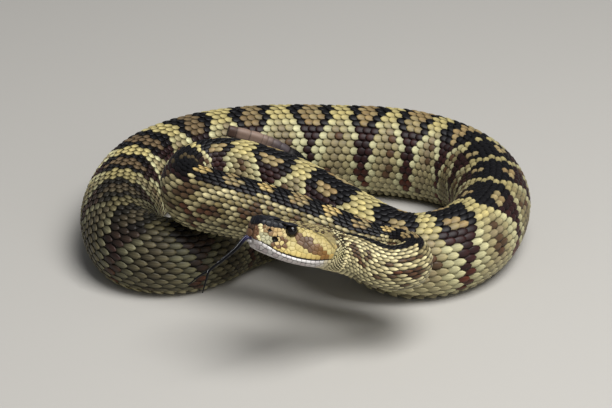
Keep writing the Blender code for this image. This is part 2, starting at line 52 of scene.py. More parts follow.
# The head's own measures, as the solids have them
HEAD_LENGTH = 39.0
HEAD_YAW = math.radians(24.0)
HEAD_PITCH = math.radians(22.5)
HEAD_ROLL = math.radians(14.0)
NAPE_RISE = 1.7
BLEND_START = 31.0
UNROLL_LENGTH = 22.0
CHIN_SET_BACK = 1.6
SET_BACK_DEPTH, SET_BACK_LENGTH = 3.0, 10.0
EYE_RADIUS = 2.15
EYE_PLACE = (12.6, 7.75, 6.65)            # behind the snout tip, to the side, up
BROW_PLATE = (3.15, 2.3, 0.70)
BROW_PLACE = (11.9, 6.8, 8.70)
BROW_TILT = math.radians(2.0)
BROW_SUNK = 0.05          # lower than the solids' own, to stay inside them
NOSTRIL_PLACE, NOSTRIL_RADIUS = (4.6, 5.9, 5.0), 0.6
PIT_PLACE, PIT_RADIUS = (7.0, 7.45, 2.3), 1.15
JAW_END = 29.5

# The body
BACK_ROUNDNESS = 1.85
BELLY_ROUNDNESS = 2.5
NAPE_SWELL = 0.05
FULL_GIRTH_HALF = 18.0    # half height of the body where the scales have their full size
DORSAL_ROWS = 27
BELLY_SHARE = 0.262       # share of the girth that the belly plates take
ROW_SHARE = (1.0 - BELLY_SHARE) / DORSAL_ROWS
SCALE_STEP = 3.5          # from one scale to the next along a row at full size
STEP_POWER = 0.4          # scales get shorter more slowly than the body gets thinner
COAT_DEPTH = 0.95         # the skin lies this far inside the tips of the scales at full size
COAT_POWER = 0.7

FLOOR_CLEAR = 0.02


def turn(middle, radius, start, stop, z, half_width, half_height, count=5):
    """Stations on a round turn of the body, from one angle to another, with sizes changing evenly."""
    stations = []
    for index in range(count):
        part = index / (count - 1)
        angle = math.radians(start + (stop - start) * part)
        stations.append((middle[0] + radius * math.cos(angle), middle[1] + radius * math.sin(angle),
                         z[0] + (z[1] - z[0]) * part,
                         half_width[0] + (half_width[1] - half_width[0]) * part,
                         half_height[0] + (half_height[1] - half_height[0]) * part))
    return stations


# The middle of the body from the nape to the rattle's tip: x, y, z, half width, half height
ROUTE = ([(12.2, -90.8, 44.4, 7.6, 7.8), (20.6, -88.8, 41.0, 8.0, 8.3)]
         + turn((30.0, -79.0), 10.4, -90, 68, (37.6, 33.4), (8.1, 8.3), (8.8, 9.9))
         + [(21.0, -65.2, 34.4, 10.2, 10.6), (-1.0, -56.8, 39.0, 11.2, 11.4),
            (-20.0, -50.0, 41.8, 11.4, 12.0)]
         + turn((-34.6, -31.0), 13.4, 250, 90, (43.6, 44.2), (10.4, 10.4), (13.2, 13.6))
         + [(-19.0, -18.6, 41.4, 12.8, 13.6), (1.2, -24.0, 33.2, 14.6, 14.8),
            (19.0, -33.0, 24.8, 16.0, 16.0), (39.6, -38.5, 17.1, 17.0, 17.3),
            (59.0, -32.0, 16.3, 17.0, 17.3), (73.0, -12.0, 16.2, 16.6, 17.2),
            (78.0, 14.0, 16.4, 16.6, 17.4), (70.0, 40.0, 17.0, 17.4, 18.0),
            (46.0, 55.0, 18.2, 18.6, 19.2), (15.0, 61.5, 18.0, 18.6, 19.0),
            (-18.0, 63.5, 17.6, 18.4, 18.6), (-46.0, 57.0, 17.2, 18.0, 18.2),
            (-67.5, 38.5, 16.9, 17.6, 17.9), (-76.0, 11.0, 16.6, 17.2, 17.6)]
         + turn((-55.4, -14.5), 20.2, 184, 312, (16.2, 13.8), (16.4, 14.6), (17.0, 14.9), count=4)
         + [(-29.5, -16.8, 13.2, 14.0, 14.1), (-14.5, -5.8, 12.0, 12.6, 12.8),
            (-2.2, 1.8, 10.4, 10.2, 10.8), (5.4, 10.0, 9.6, 8.2, 8.6),
            (6.0, 18.5, 13.0, 6.8, 7.1), (1.0, 24.2, 20.5, 5.2, 5.5),
            (-8.5, 24.9, 31.8, 3.4, 3.8), (-33.0, 22.0, 43.5, 3.0, 3.0)])
STATIONS_AFTER_VENT = 6    # the vent's own station and those behind it
TAIL_STATIONS = 2          # the end of the tail and the tip of the rattle


def unit(vectors):
    return vectors / np.linalg.norm(vectors, axis=-1, keepdims=True)


def direction(x, y, z):
    return np.array([x, y, z], float)


def running_sum(steps):
    """How far each place lies along a way, from the steps between the places."""
    return np.concatenate([[0.0], np.cumsum(steps)])


def step_lengths(points):
    return np.linalg.norm(np.diff(points, axis=0), axis=1)


def round_angles(count, shift=0.5):
    """Even angles round a ring."""
    return 2 * math.pi * (np.arange(count) + shift) / count


def smooth_step(value):
    value = np.clip(value, 0.0, 1.0)
    return value * value * (3 - 2 * value)


def fade_in(value, start, stop):
    return smooth_step((value - start) / (stop - start))


def curve_through(knots, values, where):
    """A cubic curve through values at their knots, with slopes from the neighbours, read anywhere."""
    slopes = np.empty_like(values)
    slopes[1:-1] = (values[2:] - values[:-2]) / (knots[2:] - knots[:-2])[:, None]
    slopes[0] = (values[1] - values[0]) / (knots[1] - knots[0])
    slopes[-1] = (values[-1] - values[-2]) / (knots[-1] - knots[-2])
    index = np.clip(np.searchsorted(knots, where, side="right") - 1, 0, len(knots) - 2)
    span = (knots[index + 1] - knots[index])[:, None]
    part = (where - knots[index])[:, None] / span
    return ((2 * part ** 3 - 3 * part ** 2 + 1) * values[index]
            + (part ** 3 - 2 * part ** 2 + part) * slopes[index] * span
            + (-2 * part ** 3 + 3 * part ** 2) * values[index + 1]
            + (part ** 3 - part ** 2) * slopes[index + 1] * span)


FORWARD = direction(-math.cos(HEAD_PITCH) * math.cos(HEAD_YAW),
                    -math.cos(HEAD_PITCH) * math.sin(HEAD_YAW), math.sin(HEAD_PITCH))
LEVEL_UP = unit(direction(0, 0, 1) - FORWARD * FORWARD[2])
LEVEL_LEFT = np.cross(LEVEL_UP, FORWARD)
HEAD_UP = LEVEL_UP * math.cos(HEAD_ROLL) - LEVEL_LEFT * math.sin(HEAD_ROLL)
HEAD_LEFT = LEVEL_LEFT * math.cos(HEAD_ROLL) + LEVEL_UP * math.sin(HEAD_ROLL)
SNOUT = np.array(ROUTE[0][:3]) + FORWARD * HEAD_LENGTH - HEAD_UP * NAPE_RISE


class Centreline:
    """The body's smooth middle line, read by distance from the nape for many places at once."""
    SPACING = 0.25
    FINE_PLACES = 8000

    def __init__(self, stations):
        table = np.array(stations, float)
        chords = step_lengths(table[:, :3])
        knots = running_sum(chords)
        bends = self.second_derivatives(table, chords)
        fine = np.linspace(0.0, knots[-1], self.FINE_PLACES)
        index = np.clip(np.searchsorted(knots, fine, side="right") - 1, 0, len(knots) - 2)
        span = chords[index][:, None]
        ahead = (fine - knots[index])[:, None] / span
        behind = 1.0 - ahead
        values = (behind * table[index] + ahead * table[index + 1]
                  + ((behind ** 3 - behind) * bends[index]
                     + (ahead ** 3 - ahead) * bends[index + 1]) * span ** 2 / 6)
        travelled = running_sum(step_lengths(values[:, :3]))
        marks = np.interp(knots, fine, travelled)
        self.vent = marks[-STATIONS_AFTER_VENT]
        self.tail_end = marks[-TAIL_STATIONS]
        self.last = travelled[-1]
        self.distance = np.arange(0.0, self.last, self.SPACING)
        even = np.stack([np.interp(self.distance, travelled, values[:, column])
                         for column in range(table.shape[1])], axis=1)
        along = unit(np.gradient(even[:, :3], axis=0))
        level_up = unit(direction(0, 0, 1) - along * along[:, 2:3])
        level_out = np.cross(level_up, along)
        left = np.maximum(0.0, 1.0 - self.distance / UNROLL_LENGTH)[:, None]
        roll = HEAD_ROLL * left * left * (3.0 - 2.0 * left)
        up = level_up * np.cos(roll) + level_out * np.sin(roll)
        out = level_out * np.cos(roll) - level_up * np.sin(roll)
        self.block = np.concatenate([even[:, :3], along, out, up, even[:, 3:]], axis=1)

    @staticmethod
    def second_derivatives(table, chords):
        """Cubic spline that leaves the nape in line with the head and is free at the far end."""
        count = len(table)
        matrix = np.zeros((count, count))
        wanted = np.zeros(table.shape)
        leaving = np.concatenate([-FORWARD, [NAPE_SWELL, NAPE_SWELL]])
        matrix[0, 0] = 2 * chords[0]
        matrix[0, 1] = chords[0]
        wanted[0] = 6 * ((table[1] - table[0]) / chords[0] - leaving)
        for row in range(1, count - 1):
            before, after = chords[row - 1], chords[row]
            matrix[row, row - 1] = before
            matrix[row, row] = 2 * (before + after)
            matrix[row, row + 1] = after
            wanted[row] = 6 * ((table[row + 1] - table[row]) / after
                               - (table[row] - table[row - 1]) / before)
        matrix[-1, -1] = 1.0
        return np.linalg.solve(matrix, wanted)

    def at(self, distance):
        """Middle, directions to the tail, to the right side and up the back, half width and height."""
        where = np.clip(distance, 0.0, self.distance[-1] - self.SPACING) / self.SPACING
        index = where.astype(int)
        part = (where - index)[:, None]
        row = self.block[index] * (1 - part) + self.block[index + 1] * part
        beyond = np.minimum(distance, 0.0)[:, None]
        along, out, up = row[:, 3:6], row[:, 6:9], row[:, 9:12]
        return row[:, :3] + along * beyond, along, out, up, row[:, 12], row[:, 13]


body = Centreline(ROUTE)


def signed_power(value, power):
    return np.sign(value) * np.abs(value) ** power


def section_point(angle):
    """Out and up of the body's section of unit size, and the outward direction before scaling."""
    side, level = np.sin(angle), np.cos(angle)
    roundness = np.where(level > 0, BACK_ROUNDNESS, BELLY_ROUNDNESS)
    out, up = signed_power(side, 2.0 / roundness), signed_power(level, 2.0 / roundness)
    return out, up, signed_power(out, roundness - 1), signed_power(up, roundness - 1)


def girth_table(places=721):
    """Angles down one side of a section of unit size, the share of the girth at each, and the girth."""
    angles = np.linspace(0.0, math.pi, places)
    out, up, _, _ = section_point(angles)
    walk = running_sum(np.hypot(np.diff(out), np.diff(up)))
    return angles, 0.5 * walk / walk[-1], 2.0 * walk[-1]


GIRTH_ANGLES, GIRTH_SHARES, UNIT_GIRTH = girth_table()


def local_size(distance):
    """Size of the scales at a distance, one where the body has its full girth."""
    half_width, half_height = body.at(distance)[4:]
    return 0.5 * (half_width + half_height) / FULL_GIRTH_HALF


def scale_step(distance):
    """From one scale to the next along a row, by place on the body."""
    return SCALE_STEP * local_size(distance) ** STEP_POWER


def body_surface(distance, share, lift):
    """Points over the body: share runs round the girth from the backbone, positive to the right."""
    middle, _, out, up, half_width, half_height = body.at(distance)
    angle = np.sign(share) * np.interp(np.abs(share), GIRTH_SHARES, GIRTH_ANGLES)
    across, rise, out_slope, up_slope = section_point(angle)
    facing = unit(out * (out_slope / half_width)[:, None] + up * (up_slope / half_height)[:, None])
    point = (middle + out * (half_width * across)[:, None] + up * (half_height * rise)[:, None]
             + facing * lift[:, None])
    point[:, 2] = np.maximum(point[:, 2], FLOOR_CLEAR)
    return point, facing


# Sections of the head from the snout back: distance behind the snout tip, height of the crown,
# half width and height at the brow, half width of the cheek, half width and height of the lip,
# half width of the jaw, depth of the chin
HEAD_SECTIONS = np.array([
    (0.0, 6.1, 2.4, 5.3, 2.9, 3.2, 0.3, 2.7, -2.2),
    (1.2, 8.9, 4.1, 7.4, 4.6, 5.0, 0.3, 4.4, -3.2),
    (4.5, 9.7, 5.2, 8.4, 6.1, 6.9, -0.5, 6.3, -4.1),
    (8.5, 8.9, 6.4, 8.3, 7.3, 8.5, -1.7, 7.9, -4.9),
    (12.8, 8.2, 8.2, 8.5, 8.8, 10.3, -2.3, 9.6, -5.5),
    (16.5, 8.1, 8.6, 8.5, 10.6, 11.7, -2.5, 10.9, -5.8),
    (22.0, 8.8, 8.5, 8.7, 12.9, 12.8, -2.2, 11.7, -5.8),
    (28.0, 10.0, 8.0, 9.1, 13.4, 12.6, -1.1, 10.9, -5.5),
    (33.0, 10.2, 6.9, 8.9, 11.5, 10.8, -0.2, 8.8, -5.7),
    (39.0, 9.5, 5.4, 7.4, 7.6, 7.4, 0.6, 5.6, -6.1)])
LIP, CHIN = 4.0, 7.0      # places round the head: 0 at the crown, 2 at the brow, 3 at the cheek


def head_measures(back):
    """The head's measures at many distances behind the snout."""
    return curve_through(HEAD_SECTIONS[:, 0], HEAD_SECTIONS[:, 1:], back)


def neck_reach(angle, half_width, half_height):
    """How far the neck's section reaches from its middle in a direction."""
    side, level = np.abs(np.sin(angle)), np.cos(angle)
    roundness = np.where(level > 0, BACK_ROUNDNESS, BELLY_ROUNDNESS)
    full = (side / half_width) ** roundness + (np.abs(level) / half_height) ** roundness
    return full ** (-1 / roundness)


def head_form(back, place, side):
    """Points of the head as the solids have it; place runs from crown to chin, side is 1 or -1."""
    crown, brow_out, brow_up, cheek_out, lip_out, lip_up, jaw_out, chin = head_measures(back).T
    zero = np.zeros_like(crown)
    guide_out = np.stack([-brow_out * 0.55, zero, brow_out * 0.55, brow_out, cheek_out, lip_out,
                          jaw_out, jaw_out * 0.62, zero, -jaw_out * 0.62])
    shoulder = crown * 0.62 + brow_up * 0.38
    under = chin * 0.97
    guide_up = np.stack([shoulder, crown, shoulder, brow_up, 0.55 * brow_up + 0.45 * lip_up, lip_up,
                         0.42 * lip_up + 0.58 * chin, under, chin, under])
    segment = np.clip(place.astype(int), 0, 6)
    part = place - segment
    columns = np.arange(len(place))

    def through(guide):
        before, start, end, after = (guide[segment + step, columns] for step in range(4))
        return 0.5 * (2 * start + (end - before) * part
                      + (2 * before - 5 * start + 4 * end - after) * part ** 2
                      + (3 * start - before - 3 * end + after) * part ** 3)

    out, up = through(guide_out), through(guide_up)
    blend = fade_in(back, BLEND_START, HEAD_LENGTH)
    angle = np.arctan2(out, up - NAPE_RISE)
    reach = neck_reach(angle, ROUTE[0][3], ROUTE[0][4])
    out = out * (1 - blend) + np.sin(angle) * reach * blend
    up = up * (1 - blend) + (NAPE_RISE + np.cos(angle) * reach) * blend
    depth = np.clip((lip_up - up) / SET_BACK_DEPTH, 0.0, 1.0)
    set_back = CHIN_SET_BACK * depth * np.maximum(0.0, 1.0 - back / SET_BACK_LENGTH)
    return in_head(back + set_back, out * side, up)


def in_head(back, out, up):
    """Points from distances behind the snout tip, to the snake's left and up."""
    back, out, up = (np.asarray(value, float)[..., None] for value in (back, out, up))
    return SNOUT - FORWARD * back + HEAD_LEFT * out + HEAD_UP * up


def on_side(place, sign):
    """A place of the head given as back, out and up, on its left side or mirrored to its right."""
    return in_head(place[0], place[1] * sign, place[2])


SLOPE_STEP = 0.05


def head_surface(back, place, side, lift=0.0):
    """Points over the head lifted along the surface's own direction, that direction and the slopes."""
    point = head_form(back, place, side)
    low_back = np.maximum(back - SLOPE_STEP, 0.0)
    high_back = np.minimum(back + SLOPE_STEP, HEAD_LENGTH)
    low_place, high_place = np.maximum(place - SLOPE_STEP, 0.0), np.minimum(place + SLOPE_STEP, CHIN)
    by_back = ((head_form(high_back, place, side) - head_form(low_back, place, side))
               / (high_back - low_back)[:, None])
    by_place = ((head_form(back, high_place, side) - head_form(back, low_place, side))
                / (high_place - low_place)[:, None])
    facing = unit(np.cross(by_place, by_back) * np.asarray(side, float)[..., None])
    return point + facing * np.broadcast_to(lift, len(back))[:, None], facing, by_back, by_place


# Colours as sRGB hex values
BLACK, MAROON, RUST = "080709", "301917", "5a2c1a"
YELLOW, BACK_YELLOW, CREAM = "b59a60", "b3a56d", "bdb98f"
TAN, REAR_TAN, OLIVE, BACK_CENTRE = "8a734d", "63523b", "988e67", "796a53"
KHAKI, BROWN = "756845", "523f2c"
NECK_PALE, BELLY_EDGE = "cbbf91", "b8af86"
# The rear's dull colours, darker partly as painted shade
DARK_REAR_AND_SHADE, PALE_REAR_AND_SHADE = "1b1814", "464130"
# The forebody's bend and the right bend's crowded stretch: darker colours, partly their own and partly
# painted shade
DARK_AND_SHADED_KNOB_CENTRE, SHADED_CROWDED_OLIVE = "3a3120", "5f5439"
BELLY_PALE, BELLY_DARK = "c9bf92", "5f5338"
SHADED_GAP_SKIN = "17120e"        # the thin skin between the scales, painted dark as shade in the gaps
# Painted shade in the mouth's crease and inside the nostrils and heat pits
MOUTH_CREASE_SHADE, HOLLOW_PAINTED_SHADE = "1a100c", "0c0705"


def linear(code):
    """An sRGB hex value as linear red, green and blue."""
    parts = np.array([int(code[index:index + 2], 16) / 255 for index in (0, 2, 4)])
    return np.where(parts <= 0.04045, parts / 12.92, ((parts + 0.055) / 1.055) ** 2.4)


def mesh_piece(name, points, faces):
    """An object from points in millimetres of the plan."""
    mesh = bpy.data.meshes.new(name)
    flat = np.asarray(faces)
    mesh.vertices.add(len(points))
    mesh.vertices.foreach_set("co", ((points - MIDDLE) * MM).astype(np.float32).ravel())
    mesh.loops.add(flat.size)
    mesh.loops.foreach_set("vertex_index", flat.ravel().astype(np.int32))
    mesh.polygons.add(len(flat))
    mesh.polygons.foreach_set("loop_start", (np.arange(len(flat)) * flat.shape[1]).astype(np.int32))
    mesh.update(calc_edges=True)
    mesh.validate()
    piece = bpy.data.objects.new(name, mesh)
    bpy.context.scene.collection.objects.link(piece)
    mesh.shade_smooth()
    return piece


def set_tint(mesh, colours, painted_light_strength=None):
    """Writes one linear colour for each vertex, and in the fourth value how strongly its scale's
    painted shade and highlight show.
    """
    layer = mesh.color_attributes.new("tint", "FLOAT_COLOR", "POINT")
    painted_light_strength = np.ones(len(colours)) if painted_light_strength is None else painted_light_strength
    full = np.concatenate([colours, painted_light_strength[:, None]], axis=1)
    layer.data.foreach_set("color", full.astype(np.float32).ravel())


def set_uv(mesh, name, per_vertex):
    layer = mesh.uv_layers.new(name=name)
    loops = np.empty(len(mesh.loops), np.int32)
    mesh.loops.foreach_get("vertex_index", loops)
    layer.data.foreach_set("uv", per_vertex[loops].astype(np.float32).ravel())


def select_only(*pieces):
    """Selects these pieces and makes the first of them the active one."""
    bpy.ops.object.select_all(action="DESELECT")
    for piece in pieces:
        piece.select_set(True)
    bpy.context.view_layer.objects.active = pieces[0]


@contextmanager
def reworked(mesh):
    """The mesh opened for bmesh operators, and written back afterwards."""
    shell = bmesh.new()
    shell.from_mesh(mesh)
    yield shell
    shell.to_mesh(mesh)
    shell.free()


def open_edges(shell):
    return [edge for edge in shell.edges if edge.is_boundary]


def repeated(faces, count, points_each):
    """The faces of many like shapes in one mesh, from the faces of the first."""
    return faces[None] + (np.arange(count) * points_each)[:, None, None]


# The markings

# Middles of the blotches along the body, in millimetres from the nape
BLOTCH_MIDDLES = (-34.0, -10.0, 14.0, 39.0, 62.0, 88.5, 116.0, 142.0, 161.0, 182.5, 207.0, 240.0, 264.5,
                  289.5, 314.0, 331.0, 350.0, 372.0, 394.0, 419.0, 446.0, 475.0, 501.5, 524.5, 548.0,
                  570.0, 592.0, 614.0, 636.0, 658.0, 680.0, 702.0, 724.0, 746.0)
BORDER_WIDTH = 0.14       # one scale, as a share of the blotches' spacing
RAGGED = 0.10             # how far a blotch's edge strays, as a share of their spacing
# Where the zones of the markings fade in, or out again, in millimetres from the nape
NECK_END, FORE_END = (24.0, 36.0), (128.0, 150.0)
BEND_START, BEND_END = (150.0, 165.0), (325.0, 345.0)
CROWDED_START, CROWDED_END = (283.0, 300.0), (345.0, 362.0)
SLIM_START, REAR_START, PAINTED_LIGHT_REAR = (430.0, 500.0), (515.0, 556.0), (540.0, 575.0)
TAN_END = (400.0, 500.0)
TAIL_BLACK = (-18.0, -4.0)                # from the vent
KNOB_MIDDLE, KNOB_REACH = 141.0, 12.0     # the forebody's bend, black on its outer side, darker there in part as painted shade
NECK_STRIPE = 1.5                         # rows of the neck's black stripe on each side

# Half widths of a blotch's dark and of the patch inside it, as shares of the blotches' spacing, by row
# from the backbone; below zero there is none
NONE = -0.1
DARK_HALVES = ((0, 2, 3, 4, 5, 6, 7, 9, 11, 12, 13),
               (0.35, 0.33, 0.29, 0.22, 0.15, 0.115, 0.10, 0.085, 0.08, 0.075, 0.05))
PATCH_HALVES = ((0, 2, 3, 3.6, 4.4), (0.165, 0.155, 0.11, 0.03, NONE))
PAIRED_PATCH_HALVES = ((1.0, 1.6, 2.4, 3.6, 4.4), (NONE, 0.10, 0.16, 0.10, NONE))
FORE_DARK_HALVES = ((0, 1.3, 1.8, 2.8, 3.4, 4.0), (0.36, 0.38, 0.51, 0.46, 0.28, NONE))
FORE_PATCH_HALVES = ((0, 0.5, 1.0, 1.9, 2.3), (0.05, 0.12, 0.17, 0.15, NONE))


def blotch_place(distance):
    """How far a place lies from the middle of the nearest blotch, as a share of their spacing."""
    number = np.interp(distance, BLOTCH_MIDDLES, np.arange(len(BLOTCH_MIDDLES)))
    return number - np.round(number)


def value_noise(first, second, salt):
    """Smooth noise from 0 to 1 over two coordinates."""
    def corner(i, j):
        mixed = np.sin(i * 127.1 + j * 311.7 + salt * 74.7) * 43758.5453
        return mixed - np.floor(mixed)
    i, j = np.floor(first), np.floor(second)
    u, v = smooth_step(first - i), smooth_step(second - j)
    near = corner(i, j) * (1 - u) + corner(i + 1, j) * u
    far = corner(i, j + 1) * (1 - u) + corner(i + 1, j + 1) * u
    return near * (1 - v) + far * v


def mixed(first, second, share):
    """A mix of two colours, each a hex value or an array, by a share for each place."""
    first = linear(first) if isinstance(first, str) else first
    second = linear(second) if isinstance(second, str) else second
    return first * (1 - share)[:, None] + second * share[:, None]


def fore_share(distance):
    """How much a place belongs to the raised forebody."""
    return 1.0 - fade_in(distance, *FORE_END)


class Zones:
    """How much each place along the body belongs to each zone of the markings, from 0 to 1."""

    def __init__(self, distance):
        self.neck = 1.0 - fade_in(distance, *NECK_END)
        self.fore = fore_share(distance)
        self.bend = fade_in(distance, *BEND_START) * (1.0 - fade_in(distance, *BEND_END))
        self.crowded = fade_in(distance, *CROWDED_START) * (1.0 - fade_in(distance, *CROWDED_END))
        self.rear = fade_in(distance, *REAR_START)
        self.knob = np.exp(-((distance - KNOB_MIDDLE) / KNOB_REACH) ** 2)
        self.tail = fade_in(distance, *(body.vent + edge for edge in TAIL_BLACK))


def blotch_halves(distance, level, zones):
    """Half widths of the nearest blotch's dark and of the patch inside it."""
    outer = np.interp(level - 0.5 * zones.bend, *DARK_HALVES)
    inner = np.interp(level, *PATCH_HALVES) - 0.03 * fade_in(distance, *SLIM_START)
    inner = inner * (1 - zones.bend) + np.interp(level, *PAIRED_PATCH_HALVES) * zones.bend
    outer = outer + 0.07 * zones.crowded * (1.0 - fade_in(level, 6.0, 9.0))
    outer = np.where(zones.fore > 0.5, np.interp(level, *FORE_DARK_HALVES), outer)
    inner = np.where(zones.fore > 0.5, np.interp(level, *FORE_PATCH_HALVES), inner)
    outer = np.where(zones.neck > 0.5, np.where(level < NECK_STRIPE, 1.0, NONE), outer)
    inner = np.where(zones.neck > 0.5, NONE, inner)
    return outer, inner * (1.0 - 0.65 * zones.knob)


def ground_colours(level, zones, between, blur, second):
    """Colours between the blotches, and of the pale scales that edge them."""
    low = fade_in(level, 9.5, 12.5)
    yellow = mixed(YELLOW, BACK_YELLOW, 1.0 - zones.fore)
    yellow_end = 1.6 + 1.2 * zones.bend
    middle = mixed(OLIVE, BACK_CENTRE, between * (0.35 + 0.65 * blur) * (1 - 0.7 * low))
    middle = mixed(middle, BELLY_EDGE, 0.6 * low)
    # On the crowded stretch of the right bend the ground turns a darker olive, partly as painted shade
    middle = mixed(middle, SHADED_CROWDED_OLIVE, 0.55 * zones.crowded)
    middle = mixed(yellow, middle, smooth_step((level - yellow_end) / 1.6))
    pale = mixed(yellow, CREAM, smooth_step((level - yellow_end) / 2.5))
    pale = mixed(pale, OLIVE, 0.30 * second + 0.25 * zones.bend)
    return middle, mixed(pale, SHADED_CROWDED_OLIVE, 0.30 * zones.crowded)


def markings(distance, row, chance):
    """Linear colour of each scale from its distance, its row from the backbone and a random number."""
    level = np.abs(row)
    second, third, fourth = chance * 3.7 % 1.0, chance * 5.1 % 1.0, chance * 9.3 % 1.0
    zones = Zones(distance)
    near = (np.abs(blotch_place(distance))
            + (value_noise(distance * 0.24, row * 0.9, 5.0) - 0.5) * RAGGED)
    outer, inner = blotch_halves(distance, level, zones)
    dark = (near < outer) & (near > inner) | (zones.knob > 0.45) & (level < 4.4) & (near > inner)
    patch = near <= inner
    border = ~dark & ~patch & (near < outer + BORDER_WIDTH)
    between = fade_in(near, outer + BORDER_WIDTH, 0.5)
    blur = value_noise(distance * 0.22, row * 0.45, 1.0)
    colour, pale = ground_colours(level, zones, between, blur, second)
    colour[border] = pale[border]

    # The flanks of the neck and forebody, khaki with brown spots
    flank = np.maximum(zones.fore * fade_in(level, 3.0, 3.4), zones.neck * fade_in(level, 1.3, 1.6))
    paleness = np.clip(0.9 * third ** 1.7 + 0.6 * (blur - 0.5) + 0.35 * zones.neck, 0, 1)
    khaki = mixed(mixed(KHAKI, NECK_PALE, paleness), BELLY_EDGE, 0.7 * fade_in(level, 9.0, 12.0))
    colour = mixed(colour, khaki, flank)
    mottle = value_noise(distance * 0.30, level * 0.75, 3.0)
    brown = (flank > 0.5) & (level > 4.2) & (level < 11.0) & (mottle > 0.67 + 0.08 * zones.neck)
    colour[brown] = mixed(BROWN, RUST, 0.5 * fade_in(level, 7.0, 9.0) * fourth)[brown]

    # The tan patches, and the dark round them, black above and rusty low down
    patch_colour = mixed(mixed(TAN, OLIVE, fourth * 0.6), REAR_TAN, fade_in(distance, *TAN_END))
    # On the forebody's bend the patches turn dark, partly as painted shade
    colour[patch] = mixed(patch_colour, DARK_AND_SHADED_KNOB_CENTRE, 0.9 * zones.knob)[patch]
    rusty = mixed(MAROON, RUST, fade_in(level, 8.5, 11.5))
    dark_colour = mixed(BLACK, rusty, fade_in(level, 2.5, 5.0) * (0.5 + 0.5 * second))
    colour[dark] = dark_colour[dark]

    # Brown spots between the blotches
    speck = value_noise(distance * 0.37, level * 0.8, 7.0)
    spot = ~dark & ~patch & ~border & (level > 4.5) & (speck > 0.74)
    spot &= (between + flank > 0.3) & (chance < 0.7)
    spot |= ((near > 0.38) & (level > 4.8) & (level < 9.4) & (distance > 225.0)
             & (zones.bend > 0.5) & (second > 0.5))
    colour[spot] = mixed(BROWN, RUST, (0.20 + 0.35 * zones.fore) * (chance < 0.25))[spot]

    # The dull rear, darker in part as painted shade, and the black tail
    greyness = np.clip(0.7 * blur + 0.3 * third + 0.3 * fade_in(level, 7.0, 12.0), 0, 1)
    greyed_and_shaded = mixed(DARK_REAR_AND_SHADE, PALE_REAR_AND_SHADE, greyness)
    colour = mixed(colour, greyed_and_shaded, zones.rear * np.where(dark, 0.35, 0.85))
    colour = mixed(colour, BLACK, zones.tail)
    return colour * (0.86 + 0.28 * ((chance * 7.3) % 1.0))[:, None]


# The skin

SKIN_STEP = 1.5
SKIN_COLUMNS = 72
HEAD_SKIN_STEP = 0.4
TAIL_OPENING = 6.5        # reaches past the skin's opening at the tail's end
HEAD_SKIN_DEPTH = 0.33
HOLLOW_SHADE_REACH = 0.7        # how far the painted shade of a nostril or heat pit reaches past its rim
HOLLOWS = ((NOSTRIL_PLACE, NOSTRIL_RADIUS, 0.9), (PIT_PLACE, PIT_RADIUS, 1.3))     # with depths
MOUTH_DEPTH, MOUTH_HALF = 0.55, 0.22
JAW_INSET = 0.20          # the jaw lies this much inside the upper lip
SOCKET_DEPTH, SOCKET_EDGE = 1.4, 0.45
CAP_SHARES, CAP_BULGE = (0.86, 0.62, 0.32), 0.5     # rings that close the front of the snout


def skin_depth(distance):
    """How far the skin lies from the scales' tips, as a lift below zero."""
    return -COAT_DEPTH * local_size(distance) ** COAT_POWER


def body_skin():
    """The body's skin as a grid rolled into a tube along the middle line, open at the nape."""
    rows = int(body.tail_end / SKIN_STEP)
    distance = np.repeat(np.linspace(0.0, body.tail_end, rows + 1), SKIN_COLUMNS)
    share = np.tile(np.arange(SKIN_COLUMNS) / SKIN_COLUMNS - 0.5, rows + 1)
    points, _ = body_surface(distance, share, skin_depth(distance))
    return points, distance, share, rows + 1


def head_lift(points, back, place, by_place):
    """How far the head's skin is pushed in or out: mouth line, eyes, nostrils and heat pits."""
    lift = np.full(len(points), -HEAD_SKIN_DEPTH)
    from_lip = (place - LIP) * np.linalg.norm(by_place, axis=1)
    mouth = 1.0 - smooth_step((back - JAW_END) / 1.5)
    lift -= MOUTH_DEPTH * np.exp(-(from_lip / MOUTH_HALF) ** 2) * mouth
    lift -= JAW_INSET * smooth_step(from_lip / 0.5) * (1 - fade_in(from_lip, 3.0, 5.0)) * mouth
    for sign in (1, -1):
        for where, radius, depth in HOLLOWS:
            gap = np.linalg.norm(points - on_side(where, sign), axis=1)
            lift -= depth * (1 - smooth_step((gap - 0.3 * radius) / radius))
        gap = np.linalg.norm(points - on_side(EYE_PLACE, sign), axis=1)
        lift -= SOCKET_DEPTH * (1 - smooth_step((gap - EYE_RADIUS) / SOCKET_EDGE))
    return lift


def skin_lift(points, back, place, by_place):
    """The skin's depth over the whole head, which meets the body's own at the nape."""
    lift = head_lift(points, back, place, by_place)
    nape = fade_in(back, 30.0, 37.0)
    return lift * (1 - nape) + skin_depth(np.zeros(1))[0] * nape


def side_places():
    """Places round the head from crown to chin, close together on the face."""
    return np.concatenate([np.linspace(0, 1.6, 9)[:-1], np.linspace(1.6, 5.0, 52)[:-1],
                           np.linspace(5.0, 7.0, 12)])


